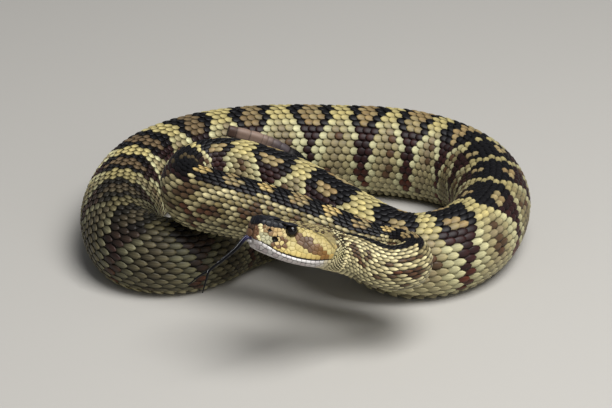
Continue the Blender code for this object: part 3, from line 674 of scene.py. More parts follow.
def head_skin():
    """The head's skin: rings from the nape to the snout, then smaller ones that close the snout."""
    half = side_places()
    ring_place = np.concatenate([half, half[-2:0:-1]])
    ring_side = np.concatenate([np.ones(len(half)), -np.ones(len(half) - 2)])
    backs = np.linspace(0.0, HEAD_LENGTH, int(HEAD_LENGTH / HEAD_SKIN_STEP) + 1)
    count = len(ring_place)
    back = np.repeat(backs, count)
    place = np.tile(ring_place, len(backs))
    side = np.tile(ring_side, len(backs))
    bare, _, _, by_place = head_surface(back, place, side)
    points = head_surface(back, place, side, skin_lift(bare, back, place, by_place))[0]
    first = points[:count]
    centre = first.mean(axis=0)
    cap = [centre + (first - centre) * share + FORWARD * CAP_BULGE * (1 - share ** 2)
           for share in (*CAP_SHARES, 0.0)]
    points = np.concatenate(cap[::-1] + [points])
    back = np.concatenate([np.zeros(len(cap) * count), back])
    place = np.concatenate([np.tile(ring_place, len(cap)), place])
    side = np.concatenate([np.tile(ring_side, len(cap)), side])
    return points, back, place, side, len(backs) + len(cap), count


def tube_faces(rows, columns, start=0):
    """Four-sided faces of a tube of rings."""
    row, column = np.meshgrid(np.arange(rows - 1), np.arange(columns), indexing="ij")
    beside = (column + 1) % columns
    return (start + np.stack([row * columns + column, row * columns + beside,
                              (row + 1) * columns + beside, (row + 1) * columns + column], axis=-1)
            .reshape(-1, 4))


def make_skin():
    """The whole skin, head and body joined at the nape and closed at the tail's end."""
    head_points, back, place, side, head_rows, head_columns = head_skin()
    body_points, distance, share, body_rows = body_skin()
    faces = np.concatenate([tube_faces(head_rows, head_columns),
                            tube_faces(body_rows, SKIN_COLUMNS, len(head_points))])
    piece = mesh_piece("skin", np.concatenate([head_points, body_points]), faces)
    even_chance = np.full(len(back), 0.5)
    head_tint = head_colours(back, place, side, even_chance) * painted_gap_shade(back, place)[:, None]
    # Painted shade along the mouth's crease and inside the nostrils and heat pits
    head_tint[(np.abs(place - LIP) < 0.12) & (back < JAW_END)] = linear(MOUTH_CREASE_SHADE)
    for where, radius, _ in HOLLOWS:
        for sign in (1, -1):
            gap = np.linalg.norm(head_points - on_side(where, sign), axis=1)
            head_tint[gap < 1.15 * radius + HOLLOW_SHADE_REACH] = linear(HOLLOW_PAINTED_SHADE)
    # Painted shade in the gaps: the skin between the scales is a little of the markings over dark
    # brown, and the belly colour is darkened under the belly plates
    body_tint = (markings(distance, share / ROW_SHARE, np.full(len(distance), 0.4)) * 0.12
                 + linear(SHADED_GAP_SKIN) * 0.6)
    belly = (np.abs(share) > 0.5 - BELLY_SHARE / 2)[:, None]
    body_tint = np.where(belly, linear(BELLY_PALE) * 0.7, body_tint)
    set_tint(piece.data, np.concatenate([head_tint, body_tint]))
    with reworked(piece.data) as shell:
        bmesh.ops.remove_doubles(shell, verts=shell.verts, dist=0.01 * MM)
        loose = open_edges(shell)
        tail_end = [edge for edge in loose if near_tail_end(edge)]
        bmesh.ops.bridge_loops(shell, edges=[edge for edge in loose if edge not in tail_end])
        bmesh.ops.contextual_create(shell, geom=tail_end)
        bmesh.ops.recalc_face_normals(shell, faces=shell.faces)
    return piece


def near_tail_end(edge):
    """Whether an edge of the skin belongs to its opening at the tail's end."""
    middle = Vector((body.at(np.array([body.tail_end]))[0][0] - MIDDLE) * MM)
    return min((vertex.co - middle).length for vertex in edge.verts) < TAIL_OPENING * MM


# The head's colours, then lines on its side, each as places behind the snout and places round the head
CROWN_DARK, CROWN_PALE, CROWN_SPOT = "7d6e4b", "a89a6a", "453722"
NAPE_DARK, NAPE_PALE, NAPE_SPOT, NAPE_LOW = "bdb283", "e0d6a8", "4d3d28", "cbbf88"
SIDE_GOLD, SIDE_DULL, SIDE_REAR = "c3b27a", "b5a366", "a8905a"
BEFORE_EYE, BELOW_EYE = "bd9f6c", "d9c48c"
NASAL_DARK, NASAL_PALE, NASAL_STREAK = "73553a", "9a7d55", "d9c89a"
LIP_GREY, LIP_CREAM, LIP_GOLD, LIP_OCHRE, LIP_SPECK = "8d8868", "c2bd98", "ccb56c", "b8964f", "694a2c"
CHEEK_CREAM, CHEEK_GOLD = "d6c98f", "c9b46e"
PATCH_DARK, PATCH_PALE, PATCH_RUSTY = "54402f", "7b6048", "8f6631"
SNOUT_BROWN, SNOUT_CREAM, CAP_BLACK = "6b4e38", "d6ca9a", "101016"
JAW_PALE, JAW_GREY, JAW_SPECK, JAW_REAR = "d8d5d1", "c0b8b5", "b0a5a4", "cbbf93"
BLACK_EDGE = ((0.0, 0.5, 1.4, 3.7, 7.7, 10.8, 13.3, 16.5), (1.0, 1.8, 2.3, 2.58, 2.50, 2.30, 2.2, 1.9))
BLACK_END, BLACK_SLANT = 17.4, 1.0        # where the black ends on the crown, and sooner at the brow
PATCH_TOP = ((13.4, 14.6, 19.1, 21.5, 25.7, 27.6), (2.42, 2.48, 2.54, 2.98, 3.30, 3.72))
PATCH_LOW = ((13.4, 14.3, 16.1, 17.8, 21.8, 25.6, 27.6), (2.82, 2.92, 3.16, 3.42, 3.52, 3.80, 3.85))
TEMPLE_TOP = ((14.0, 17.0, 20.6, 24.9, 27.0, 29.6), (2.0, 2.02, 2.14, 2.38, 2.72, 3.06))
TEMPLE_EDGE = 2.12        # below this place the head's side is smooth behind the eye
SMOOTH_END = 29.8
FACE_SHADE = 0.84


def side_colours(back, place, chance, blur, above):
    """Colours of the head's side between the black cap and the mouth."""
    other = (chance * 6.7) % 1.0
    colour = mixed(SIDE_GOLD, SIDE_DULL, blur)
    colour = mixed(colour, SIDE_REAR, fade_in(back, 24.0, 30.0) * 0.6)
    near_eye = (1 - fade_in(back, 10.6, 12.0)) * fade_in(back, 4.8, 5.8)
    colour = mixed(colour, mixed(BEFORE_EYE, BELOW_EYE, fade_in(back, 7.5, 10.0)), near_eye)
    nasal = (1 - fade_in(back, 5.2, 6.0)) * (1 - fade_in(place, 3.05, 3.25))
    colour = mixed(colour, mixed(NASAL_DARK, NASAL_PALE, chance), nasal)
    colour[(np.abs(back - 3.3) < 0.5) & (place < 2.95)] = linear(NASAL_STREAK)
    front_lip = (1 - fade_in(back, 5.6, 7.2)) * fade_in(place, 3.1, 3.3)
    colour = mixed(colour, mixed(LIP_GREY, LIP_CREAM, chance), front_lip)
    cheek = fade_in(place, 3.15, 3.45) * fade_in(back, 7.0, 9.5)
    colour = mixed(colour, mixed(CHEEK_CREAM, CHEEK_GOLD, blur), cheek)
    lip_band = fade_in(place, 3.62, 3.8) * fade_in(back, 6.0, 8.0)
    colour = mixed(colour, mixed(LIP_GOLD, LIP_OCHRE, fade_in(back, 14.0, 28.0)), lip_band)
    specks = (back > 6.4) & (back < 11.2) & (place > 3.1) & (place < 3.78) & (other < 0.45)
    colour[specks] = linear(LIP_SPECK)
    patch = (place > np.interp(back, *PATCH_TOP)) & (place < np.interp(back, *PATCH_LOW))
    patch &= (back > PATCH_TOP[0][0]) & (back < PATCH_TOP[0][-1])
    brown = mixed(mixed(PATCH_DARK, PATCH_PALE, blur), PATCH_RUSTY, fade_in(back, 18.0, 27.0))
    colour[patch] = brown[patch]
    temple = (place < np.interp(back, *TEMPLE_TOP)) & (back > TEMPLE_TOP[0][0])
    colour[temple] = above[temple]
    return colour


def head_colours(back, place, side, chance):
    """Linear colours over the head, as they lie on the animal's left side and mirrored on its right."""
    blur = value_noise(back * 0.55, place * 2.2 + side * 9.0, 11.0)
    other = (chance * 6.7) % 1.0
    colour = mixed(CROWN_DARK, CROWN_PALE, np.clip(0.2 + 0.5 * chance + 0.6 * (blur - 0.5), 0, 1))
    colour[chance < 0.16 + 0.25 * (blur > 0.6)] = linear(CROWN_SPOT)
    granules = mixed(NAPE_DARK, NAPE_PALE, chance)
    granules[other < 0.20 + 0.35 * (place < 2.3)] = linear(NAPE_SPOT)
    granules = mixed(granules, NAPE_LOW, fade_in(place, 3.1, 3.7) * 0.8)
    colour = mixed(colour, granules, fade_in(back, 29.0, 31.5))
    face = (place > np.interp(back, *BLACK_EDGE)) & (place < LIP) & (back < SMOOTH_END)
    colour[face] = side_colours(back, place, chance, blur, colour)[face] * FACE_SHADE
    colour[(back < 0.9) & (place < LIP)] = linear(SNOUT_BROWN)
    cream_line = (back >= 0.9) & (back < 2.0) & (place > 1.9) & (place < LIP) & (other < 0.75)
    colour[cream_line] = linear(SNOUT_CREAM)
    black = (place < np.interp(back, *BLACK_EDGE)) & (back < BLACK_END - BLACK_SLANT * place)
    colour[black] = linear(CAP_BLACK)
    jaw = mixed(JAW_PALE, JAW_GREY, np.clip(chance + fade_in(place, 4.6, 5.4) * 0.5, 0, 1))
    jaw[(other < 0.12) & (place > 4.3) & (place < 6.2)] = linear(JAW_SPECK)
    jaw = mixed(jaw, JAW_REAR, fade_in(back, 24.0, 30.0))
    lower = place >= LIP
    colour[lower] = jaw[lower]
    return colour


def by_region(back, usual, *rules):
    """A value for each place of the head: that of the last rule that holds there, or the usual one."""
    value = np.full(len(back), usual)
    for holds, other in rules:
        value = np.where(holds, other, value)
    return value


def painted_gap_shade(back, place):
    """Painted shade on the skin between the head's scales: how light it is next to the scales
    themselves.
    """
    face = (place > TEMPLE_EDGE) & (place < LIP) & (back < SMOOTH_END)
    jaw = (place >= LIP) & (back < 30.0)
    return by_region(back, 0.30, (face, 0.62), (face & (back > 12.0), 0.82), (jaw, 0.32),
                     (jaw & (back < 1.5), 0.8), (back > 30.5, 0.07))


# The scales

SCALE_ACROSS, SCALE_ALONG = 4, 5
KEEL_HEIGHT, KEEL_HALF, DOME_HEIGHT = 0.26, 0.45, 0.15
ROOT_SUNK, FULL_RISE, RISE_PLACE = -0.32, 0.88, 0.72     # from the sunk root up to the raised tip
UNDERSIDE = -0.40
BAKE_PATCH = 0.003        # side of one scale's own patch of the map kept for baking
SCALES_A_PIECE = 900
SCALE_LENGTH, SCALE_WIDTH = 1.30, 0.60    # as shares of the step along a row and between rows
TAIL_ROWS = 19
TAIL_STEP, TAIL_SCALE_LENGTH, TAIL_SCALE_WIDTH = 1.1, 1.45, 0.66
# How single scales vary: length, width, height and twist
LENGTH_SPREAD, WIDTH_SPREAD, HEIGHT_SPREAD, TWIST_SPREAD = (0.94, 1.06), (0.94, 1.04), (0.84, 1.0), 0.05
LEAST_STRETCH = 0.25      # scales inside the sharpest bends keep this share of their height
FLANK_ROWS, FLANK_FLATTER = (8.0, 4.0), 0.55     # the first row of the flat flank, and over how many


def scale_form():
    """One keeled scale of unit length and half width: a sheet shaped, then closed underneath."""
    bpy.ops.mesh.primitive_grid_add(x_subdivisions=SCALE_ACROSS, y_subdivisions=SCALE_ALONG, size=2.0)
    sheet = bpy.context.active_object
    mesh = sheet.data
    for vertex in mesh.vertices:
        across, along = vertex.co.x, (vertex.co.y + 1.0) / 2.0
        outline = math.sqrt(max(0.0, 1.0 - (abs(2.0 * along - 0.94) / 1.08) ** 2.2))
        ridge = max(0.0, 1.0 - abs(across) / KEEL_HALF)
        keel = KEEL_HEIGHT * ridge * math.sin(math.pi * min(along, 0.97)) ** 0.5
        dome = DOME_HEIGHT * (1.0 - across * across) * (1.0 - 0.3 * along)
        rise = ROOT_SUNK + FULL_RISE * min(1.0, along / RISE_PLACE)
        vertex.co = (across * outline, along, rise + dome + keel)
    select_only(sheet)
    bpy.ops.object.mode_set(mode="EDIT")
    bpy.ops.mesh.select_all(action="SELECT")
    bpy.ops.mesh.extrude_region_move(TRANSFORM_OT_translate={"value": (0, 0, UNDERSIDE)})
    bpy.ops.transform.resize(value=(0.8, 0.94, 0.25))
    bpy.ops.mesh.select_all(action="SELECT")
    bpy.ops.mesh.normals_make_consistent(inside=False)
    bpy.ops.object.mode_set(mode="OBJECT")
    with reworked(mesh) as shell:
        bmesh.ops.triangulate(shell, faces=shell.faces)
    points = np.array([vertex.co[:] for vertex in mesh.vertices])
    faces = np.array([face.vertices[:] for face in mesh.polygons])
    bpy.data.objects.remove(sheet, do_unlink=True)
    return points, faces


def scales_along(first, last, step=1.0):
    """Places from one to another, every half millimetre, and how many scales lie up to each."""
    fine = np.arange(first, last, 0.5)
    return fine, running_sum(0.5 / (step * scale_step(fine[:-1])))


def scale_lattice(first, last, rows, step):
    """Roots of the scales in staggered rows: distance and row number of each."""
    fine, number = scales_along(first, last, step)
    roots = []
    half = (rows - 1) // 2
    for row in range(-half, half + 1):
        wanted = np.arange(0.0 if row % 2 == 0 else 0.5, number[-1], 1.0)
        place = np.interp(wanted, number, fine)
        roots.append(np.stack([place, np.full(len(place), float(row))], axis=1))
    roots = np.concatenate(roots)
    return roots[np.argsort(roots[:, 0], kind="stable")]


def lengthwise_stretch(distance, share):
    """How much longer the surface is at a place than the middle line: small inside a bend."""
    level = np.zeros(len(distance))
    ahead, behind = (body_surface(distance + off, share, level)[0] for off in (0.5, -0.5))
    return np.linalg.norm(ahead - behind, axis=1)


def body_scales(name, roots, form, row_share, length, width, tint, rng):
    """Many scales joined in one piece: each is the form laid over the body at its root."""
    points, faces = form
    count = len(roots)
    root_place, row = roots.T
    size = local_size(root_place)
    stretch = np.clip(lengthwise_stretch(root_place, row * row_share), LEAST_STRETCH, 1.0)
    long = length * scale_step(root_place) * rng.uniform(*LENGTH_SPREAD, count)
    slim = 1.0 - 0.10 * fore_share(root_place)
    wide = width * slim * row_share * rng.uniform(*WIDTH_SPREAD, count)
    high = COAT_DEPTH * size ** COAT_POWER * stretch * rng.uniform(*HEIGHT_SPREAD, count)
    twist = rng.normal(0.0, TWIST_SPREAD, count)
    along = points[:, 1][None] * long[:, None]
    across = points[:, 0][None] * wide[:, None]
    girth = UNIT_GIRTH * FULL_GIRTH_HALF * size
    along, across = (along - across * girth[:, None] * twist[:, None],
                     across + along / girth[:, None] * twist[:, None])
    flank = 1.0 - FLANK_FLATTER * smooth_step((np.abs(row) - FLANK_ROWS[0]) / FLANK_ROWS[1])
    distance = (root_place - 0.5 * long)[:, None] + along
    share = (row * row_share)[:, None] + across
    lift = skin_depth(root_place)[:, None] + points[:, 2][None] * (high * flank)[:, None]
    placed, _ = body_surface(distance.ravel(), share.ravel(), lift.ravel())
    all_faces = repeated(faces[:, ::-1], count, len(points)).reshape(-1, faces.shape[1])
    piece = mesh_piece(name, placed, all_faces)
    # How strongly each scale's painted shade and highlight show: most on the forebody and towards the
    # tail
    painted_light_strength = 0.55 + 0.45 * np.maximum(fore_share(root_place), fade_in(root_place, *PAINTED_LIGHT_REAR))
    set_tint(piece.data, np.repeat(tint, len(points), axis=0), np.repeat(painted_light_strength, len(points)))
    local = np.stack([points[:, 0] * 0.5 + 0.5, points[:, 1]], axis=1)
    set_uv(piece.data, "Scale", np.tile(local, (count, 1)))
    root_uv = np.stack([root_place / body.last, row * row_share + 0.5], axis=1)
    patch = root_uv[:, None, :] + (local[None] - 0.5) * BAKE_PATCH
    set_uv(piece.data, "OFBake", patch.reshape(-1, 2))
    return piece


def make_body_scales(rng):
    """The leaves of the body in pieces of limited size, and those of the tail."""
    form = scale_form()
    roots = scale_lattice(-1.5, body.vent, DORSAL_ROWS, 1.0)
    tint = markings(roots[:, 0], roots[:, 1], rng.random(len(roots)))
    pieces = []
    for number, start in enumerate(range(0, len(roots), SCALES_A_PIECE)):
        chosen = slice(start, start + SCALES_A_PIECE)
        pieces.append((body_scales(f"body_scales_{number + 1}", roots[chosen], form, ROW_SHARE,
                                   SCALE_LENGTH, SCALE_WIDTH, tint[chosen], rng), "scales"))
    tail_share = (1.0 - BELLY_SHARE) / TAIL_ROWS
    roots = scale_lattice(body.vent, body.tail_end - 2.0, TAIL_ROWS, TAIL_STEP)
    tint = markings(roots[:, 0], roots[:, 1] * TAIL_ROWS / DORSAL_ROWS, rng.random(len(roots)))
    tail = body_scales("tail_scales", roots, form, tail_share, TAIL_SCALE_LENGTH, TAIL_SCALE_WIDTH,
                       tint, rng)
    return pieces + [(tail, "tail_scales")]


SCUTE_ACROSS = 14
# Outline of one belly plate: place along it and height above the skin, both as shares
SCUTE_PROFILE = np.array([(0.0, -0.30), (0.35, 0.35), (0.80, 0.80), (1.12, 0.95), (1.20, 0.70),
                          (1.12, 0.35)])
SCUTE_ROUNDING = 0.25


def make_scutes(rng):
    """The belly's wide plates, each one lapping over the next towards the tail."""
    fine, number = scales_along(0.0, body.tail_end - 1.0)
    starts = np.interp(np.arange(0.0, number[-1]), number, fine)
    place, height = SCUTE_PROFILE.T
    across = np.linspace(-1.0, 1.0, SCUTE_ACROSS + 1)
    count, rows, columns = len(starts), len(place), len(across)
    step = scale_step(starts)
    rounding = SCUTE_ROUNDING * across ** 2
    along = (place[:, None] - rounding[None] * (place[:, None] > 0.5))[None] * step[:, None, None]
    edge = (1.0 - 0.9 * np.abs(across) ** 8)[None, None]
    lift = skin_depth(starts)[:, None, None] * (1.0 - height[None, :, None] * edge)
    distance = starts[:, None, None] + along
    share = np.broadcast_to((0.5 + across * (BELLY_SHARE / 2 + ROW_SHARE * 0.25))[None, None],
                            distance.shape).ravel()
    wrapped = (share + 0.5) % 1.0 - 0.5
    points, _ = body_surface(distance.ravel(), wrapped, np.broadcast_to(lift, distance.shape).ravel())
    row, column = np.meshgrid(np.arange(rows), np.arange(columns - 1), indexing="ij")
    below = (row + 1) % rows
    one = np.stack([row * columns + column, row * columns + column + 1,
                    below * columns + column + 1, below * columns + column], axis=-1).reshape(-1, 4)
    piece = mesh_piece("belly_scutes", points, repeated(one, count, rows * columns).reshape(-1, 4))
    chance = rng.random(count)
    speck = value_noise(np.repeat(np.arange(count), rows * columns) * 0.7, wrapped * 60, 8.0)
    pale = linear(BELLY_PALE)[None] * (0.9 + 0.2 * chance)[:, None]
    tint = np.repeat(pale, rows * columns, axis=0)
    side = smooth_step((np.abs(share - 0.5) / (BELLY_SHARE / 2) - 0.5) / 0.5)
    dark = (smooth_step((speck - 0.55) / 0.2) * (0.25 + 0.6 * side))[:, None]
    set_tint(piece.data, tint * (1 - dark) + linear(BELLY_DARK) * dark)
    local = np.stack([np.tile((across + 1) / 2, count * rows),
                      np.repeat(np.tile(place, count), columns)], axis=1)
    set_uv(piece.data, "Scale", local)
    root = np.stack([starts / body.last, np.full(count, 0.01)], axis=1)
    set_uv(piece.data, "OFBake", np.repeat(root, rows * columns, axis=0) + (local - 0.5) * BAKE_PATCH)
    with reworked(piece.data) as shell:
        bmesh.ops.holes_fill(shell, edges=open_edges(shell), sides=rows)
        bmesh.ops.recalc_face_normals(shell, faces=shell.faces)
    return piece


# The head's plates and small scales

PLATE_CORNERS = 14
# Rings of one plate: share of its reach and height above the skin as a share of its full height
PLATE_RINGS = ((0.97, -0.6), (1.0, 0.25), (0.86, 0.72), (0.5, 0.95))
RING_SHARES, RING_LEVELS = np.array(PLATE_RINGS).T
TOP_LEVEL, UNDERSIDE_LEVEL = 1.0, -0.8
# Painted shade at each plate's rim and underside and a painted highlight on its top, as shares of its
# colour
RIM_PAINTED_SHADES, TOP_PAINTED_HIGHLIGHT, UNDERSIDE_PAINTED_SHADE = (0.45, 0.62, 0.92, 1.0), 1.04, 0.4
PLATE_HEIGHT_SPREAD, PLATE_TINT_SPREAD = (0.85, 1.0), (0.9, 1.08)
# Thin dark lines behind the eye, each from one place to another
STREAKS = (((17.3, 1.90), (19.4, 1.96)), ((20.8, 2.16), (24.9, 2.42)), ((24.9, 2.42), (26.9, 2.76)),
           ((26.9, 2.76), (28.6, 3.12)))
PLACE_MM = 4.5            # roughly one place round the side of the head, in millimetres
CLOSEST = 0.80            # seeds start at least this share of a scale's pitch apart
MOST_SEEDS = 3000
NEIGHBOURS = 16
EYE_RING_REACH, EYE_CLEAR = 0.75, 0.12
NOSTRIL_CLEAR, PIT_CLEAR, BROW_CLEAR = (0.55, 1.5, 0.45), (1.15, 1.9, 0.95), (3.05, 2.2, 1.0)
SAMPLES = 26000
RELAXING = 7
NAPE_STRETCH = 0.7
NAPE_START, NAPE_STEP, NAPE_COLUMNS = 31.0, 1.04, 21
LABIAL_STEP = 1.85
EYE_RING = 12
LIP_GAP = 0.14


def stretch_at(back):
    """Scales are longer than they are wide towards the nape."""
    return 1.0 + NAPE_STRETCH * fade_in(back, 26.0, 35.0)


WARP_PLACES = np.linspace(-2.0, HEAD_LENGTH + 3.0, 200)
WARPED = running_sum(np.diff(WARP_PLACES) / stretch_at(WARP_PLACES[:-1]))


def unstretched(parts):
    """The same places with the lengthening towards the nape taken out."""
    warped = parts.copy()
    warped[:, 0] = np.interp(parts[:, 0], WARP_PLACES, WARPED)
    return warped


def head_parts(points):
    """Distances behind the snout tip, to the left and up of points of the plan."""
    offset = points - SNOUT
    return np.stack([-offset @ FORWARD, offset @ HEAD_LEFT, offset @ HEAD_UP], axis=1)


def plate_pitch(back, place):
    """Distance between neighbouring scales of the head."""
    side = place < LIP
    return by_region(
        back, 1.35,
        ((place < 2.4) & (back < 11.0), 3.0),
        ((place < 2.3) & (back >= 11.0) & (back < 16.0), 1.9),
        ((place > 2.6) & (place < 3.7) & (back > 3.0) & (back <= 13.0), 1.65),
        ((place > TEMPLE_EDGE) & side & (back > 13.0) & (back < SMOOTH_END), 1.75),
        (place > LIP, 1.8),
        ((place > 5.4) & (back < 18.0), 2.3),
        (back > 31.0, 1.18))


def plate_height(back, place):
    """Height of the head's scales above the skin: flat on the lips and temples, raised on the crown."""
    height = by_region(
        back, 0.27,
        ((place < 2.4) & (back < 11.0), 0.14),
        ((place > TEMPLE_EDGE) & (place < LIP) & (back > 12.5), 0.10),
        ((place >= 2.4) & (place < LIP) & (back <= 12.5), 0.13),
        ((place > 3.5) & (place < 4.5), 0.13),
        (place >= LIP, 0.09))
    nape = fade_in(back, 28.0, 34.0)
    return height * (1 - nape) + 0.38 * nape


def plate_gap(back, place):
    """How far each scale of the head stays short of half way to its neighbours."""
    gap = by_region(
        back, 0.09,
        ((place < 2.4) & (back < 11.0), 0.05),
        ((place > TEMPLE_EDGE) & (back > 12.5) & (back < SMOOTH_END), 0.035),
        (place >= LIP, 0.05))
    return gap + 0.17 * fade_in(back, 28.0, 33.0)


def fixed_seeds():
    """Rows of scales with set places: both lips, the black cap's edge and a ring round each eye."""
    seeds = []
    labial = np.arange(1.0, JAW_END, LABIAL_STEP)
    for sign in (1, -1):
        for back in labial:
            seeds.append((back, LIP, sign, -1.05))
            seeds.append((min(back + 0.6, JAW_END), LIP, sign, 1.15))
        for back in (1.7, 4.0, 6.4, 8.7):
            seeds.append((back, np.interp(back, *BLACK_EDGE), sign, -1.1))
        for back in np.arange(1.3, 10.8, 1.35):
            seeds.append((back, np.interp(back, *BLACK_EDGE), sign, 0.62))
    back, place, side, off = np.array(seeds).T
    _, _, _, by_place = head_surface(back, place, side)
    place = place + off / np.linalg.norm(by_place, axis=1)
    return np.concatenate([np.stack([back, place, side], axis=1), nape_seeds()])


def nape_seeds():
    """Slanting rows of small scales that lead from the head to the neck's own rows."""
    seeds = []
    for number, back in enumerate(np.arange(NAPE_START, HEAD_LENGTH - 0.4, NAPE_STEP)):
        fine = np.linspace(0.0, CHIN, 141)
        rim = head_form(np.full(len(fine), back), fine, np.ones(len(fine)))
        walk = running_sum(step_lengths(rim))
        wanted = (np.arange(NAPE_COLUMNS) + (0.25 if number % 2 else 0.75)) / NAPE_COLUMNS
        for place in np.interp(wanted * walk[-1], walk, fine):
            seeds += [(back, place, 1.0), (back, place, -1.0)]
    return np.array(seeds)


def eye_ring_seeds(samples, parts):
    """The samples nearest to a ring of places round each eye."""
    chosen = []
    reach = EYE_RADIUS + EYE_RING_REACH
    for sign in (1, -1):
        for angle in round_angles(EYE_RING):
            back, up = EYE_PLACE[0] + reach * math.cos(angle), EYE_PLACE[2] + reach * math.sin(angle)
            gap = np.hypot(parts[:, 0] - back, parts[:, 2] - up) + 9.0 * (samples[:, 2] != sign)
            chosen.append(samples[np.argmin(gap)])
    return np.array(chosen)


def obstacles():
    """Middles and half sizes of what the scales keep clear of."""
    kept_free = ((EYE_PLACE, (EYE_RADIUS + EYE_CLEAR,) * 3), (NOSTRIL_PLACE, NOSTRIL_CLEAR),
                 (PIT_PLACE, PIT_CLEAR), (BROW_PLACE, BROW_CLEAR))
    return [(np.array([back, out * sign, up]), np.array(sizes))
            for sign in (1, -1) for (back, out, up), sizes in kept_free]


def clear_of_obstacles(parts):
    """Whether each place of the head lies outside all obstacles."""
    free = np.ones(len(parts), bool)
    for centre, sizes in obstacles():
        free &= np.linalg.norm((parts - centre) / sizes, axis=1) > 1.0
    return free


def spread_out(warped, pitch, fixed_parts):
    """Indexes of the samples that keep their distance from the fixed seeds and from each other."""
    count = len(fixed_parts)
    taken = np.zeros((count + MOST_SEEDS, 3))
    taken[:count] = fixed_parts
    chosen = []
    for index, place in enumerate(warped):
        if ((taken[:count] - place) ** 2).sum(axis=1).min() > (CLOSEST * pitch[index]) ** 2:
            taken[count] = place
            chosen.append(index)
            count += 1
    return np.array(chosen)


def evened_out(free, warped, weight, fixed_parts):
    """Moves each free seed to the sample nearest the middle of its own area."""
    seeds = np.concatenate([fixed_parts, warped[free]])
    squares = (seeds ** 2).sum(axis=1)[None] - 2.0 * warped @ seeds.T
    owner = np.argmin(squares, axis=1)
    total = np.bincount(owner, weight, len(seeds))
    middle = np.stack([np.bincount(owner, weight * column, len(seeds)) for column in warped.T], axis=1)
    middle = middle / np.maximum(total, 1e-9)[:, None]
    gap = ((warped - middle[owner]) ** 2).sum(axis=1)
    order = np.lexsort((gap, owner))
    first = np.searchsorted(owner[order], np.arange(len(seeds)))
    nearest = order[np.minimum(first, len(order) - 1)]
    count = len(fixed_parts)
    return np.where(total[count:] > 0, nearest[count:], free)


def relaxed_seeds(rng):
    """Places of the head's scales: thrown at random, then each moved to the middle of its own area."""
    back = rng.uniform(0.0, HEAD_LENGTH - 0.4, SAMPLES)
    place = rng.uniform(0.0, CHIN, SAMPLES)
    side = rng.choice((-1.0, 1.0), SAMPLES)
    points, _, by_back, by_place = head_surface(back, place, side)
    area = np.linalg.norm(np.cross(by_back, by_place), axis=1)
    parts = head_parts(points)
    keep = (rng.random(SAMPLES) < area / np.quantile(area, 0.98)) & clear_of_obstacles(parts)
    keep &= back < NAPE_START - 0.4
    samples = np.stack([back, place, side], axis=1)[keep]
    parts = parts[keep]
    fixed = np.concatenate([fixed_seeds(), eye_ring_seeds(samples, parts)])
    fixed_parts = head_parts(head_surface(*fixed.T)[0])
    clear = clear_of_obstacles(fixed_parts)
    fixed, fixed_parts = fixed[clear], unstretched(fixed_parts[clear])
    warped = unstretched(parts)
    pitch = plate_pitch(samples[:, 0], samples[:, 1])
    free = spread_out(warped, pitch, fixed_parts)
    for _ in range(RELAXING):
        free = evened_out(free, warped, pitch ** -4.0, fixed_parts)
    return np.concatenate([fixed, samples[free]])


def short_of_obstacles(reach, parts, moves):
    """Cuts each reach off where it would meet an eye, a nostril, a heat pit or a brow plate."""
    for centre, sizes in obstacles():
        offset = (centre - parts) / sizes
        run = moves / sizes
        square = (run ** 2).sum(axis=2)
        toward = (run * offset[:, None]).sum(axis=2)
        inside = toward * toward - square * ((offset ** 2).sum(axis=1) - 1.0)[:, None]
        hit = (toward - np.sqrt(np.maximum(inside, 0.0))) / square
        reach = np.where((inside > 0) & (hit > 0), np.minimum(reach, hit), reach)
    return reach


def plate_reach(seeds):
    """How far each scale reaches each way, about half way to its neighbours and clear of obstacles."""
    back, place, side = seeds.T
    count = len(seeds)
    points, _, by_back, by_place = head_surface(back, place, side)
    parts = head_parts(points)
    warped = unstretched(parts)
    axes = np.stack([-FORWARD, HEAD_LEFT, HEAD_UP], axis=1)
    local_back, local_place = by_back @ axes, by_place @ axes
    squeeze = np.stack([1.0 / stretch_at(parts[:, 0]), np.ones(count), np.ones(count)], axis=1)
    first = unit(local_back * squeeze)
    second = local_place * squeeze
    second = unit(second - first * (second * first).sum(axis=1, keepdims=True))
    angle = round_angles(PLATE_CORNERS)
    ways = np.stack([np.cos(angle), np.sin(angle)], axis=1)
    pitch = plate_pitch(back, place)
    apart = ((warped[:, None] - warped[None]) ** 2).sum(axis=2)
    np.fill_diagonal(apart, 1e9)
    near = np.argpartition(apart, NEIGHBOURS, axis=1)[:, :NEIGHBOURS]
    gap = warped[near] - warped[:, None]
    flat = np.stack([(gap * axis[:, None]).sum(axis=2) for axis in (first, second)], axis=2)
    far = np.linalg.norm(gap, axis=2, keepdims=True)
    flat = flat * far / np.maximum(np.linalg.norm(flat, axis=2, keepdims=True), 1e-6)
    share = pitch[:, None] / (pitch[:, None] + pitch[near])
    toward = np.einsum("njk,mk->njm", flat / far, ways)
    reach = np.where(toward > 0.08, far * share[..., None] / np.maximum(toward, 0.08), 9.0).min(axis=1)
    reach = np.minimum(reach, 0.85 * pitch[:, None])
    moves = first[:, None] * ways[None, :, :1] + second[:, None] * ways[None, :, 1:]
    moves = moves / squeeze[:, None]
    reach = short_of_obstacles(reach, parts, moves)
    reach = np.maximum(reach - plate_gap(back, place)[:, None], 0.12)
    # Each move as so much along the head and so much round it
    by_back, by_place = local_back[:, None], local_place[:, None]
    long_way, round_way = (by_back ** 2).sum(axis=2), (by_place ** 2).sum(axis=2)
    shared = (by_back * by_place).sum(axis=2)
    move_back, move_place = (moves * by_back).sum(axis=2), (moves * by_place).sum(axis=2)
    whole = long_way * round_way - shared * shared
    return (reach * (move_back * round_way - move_place * shared) / whole,
            reach * (move_place * long_way - move_back * shared) / whole, np.sqrt(round_way[:, 0]))


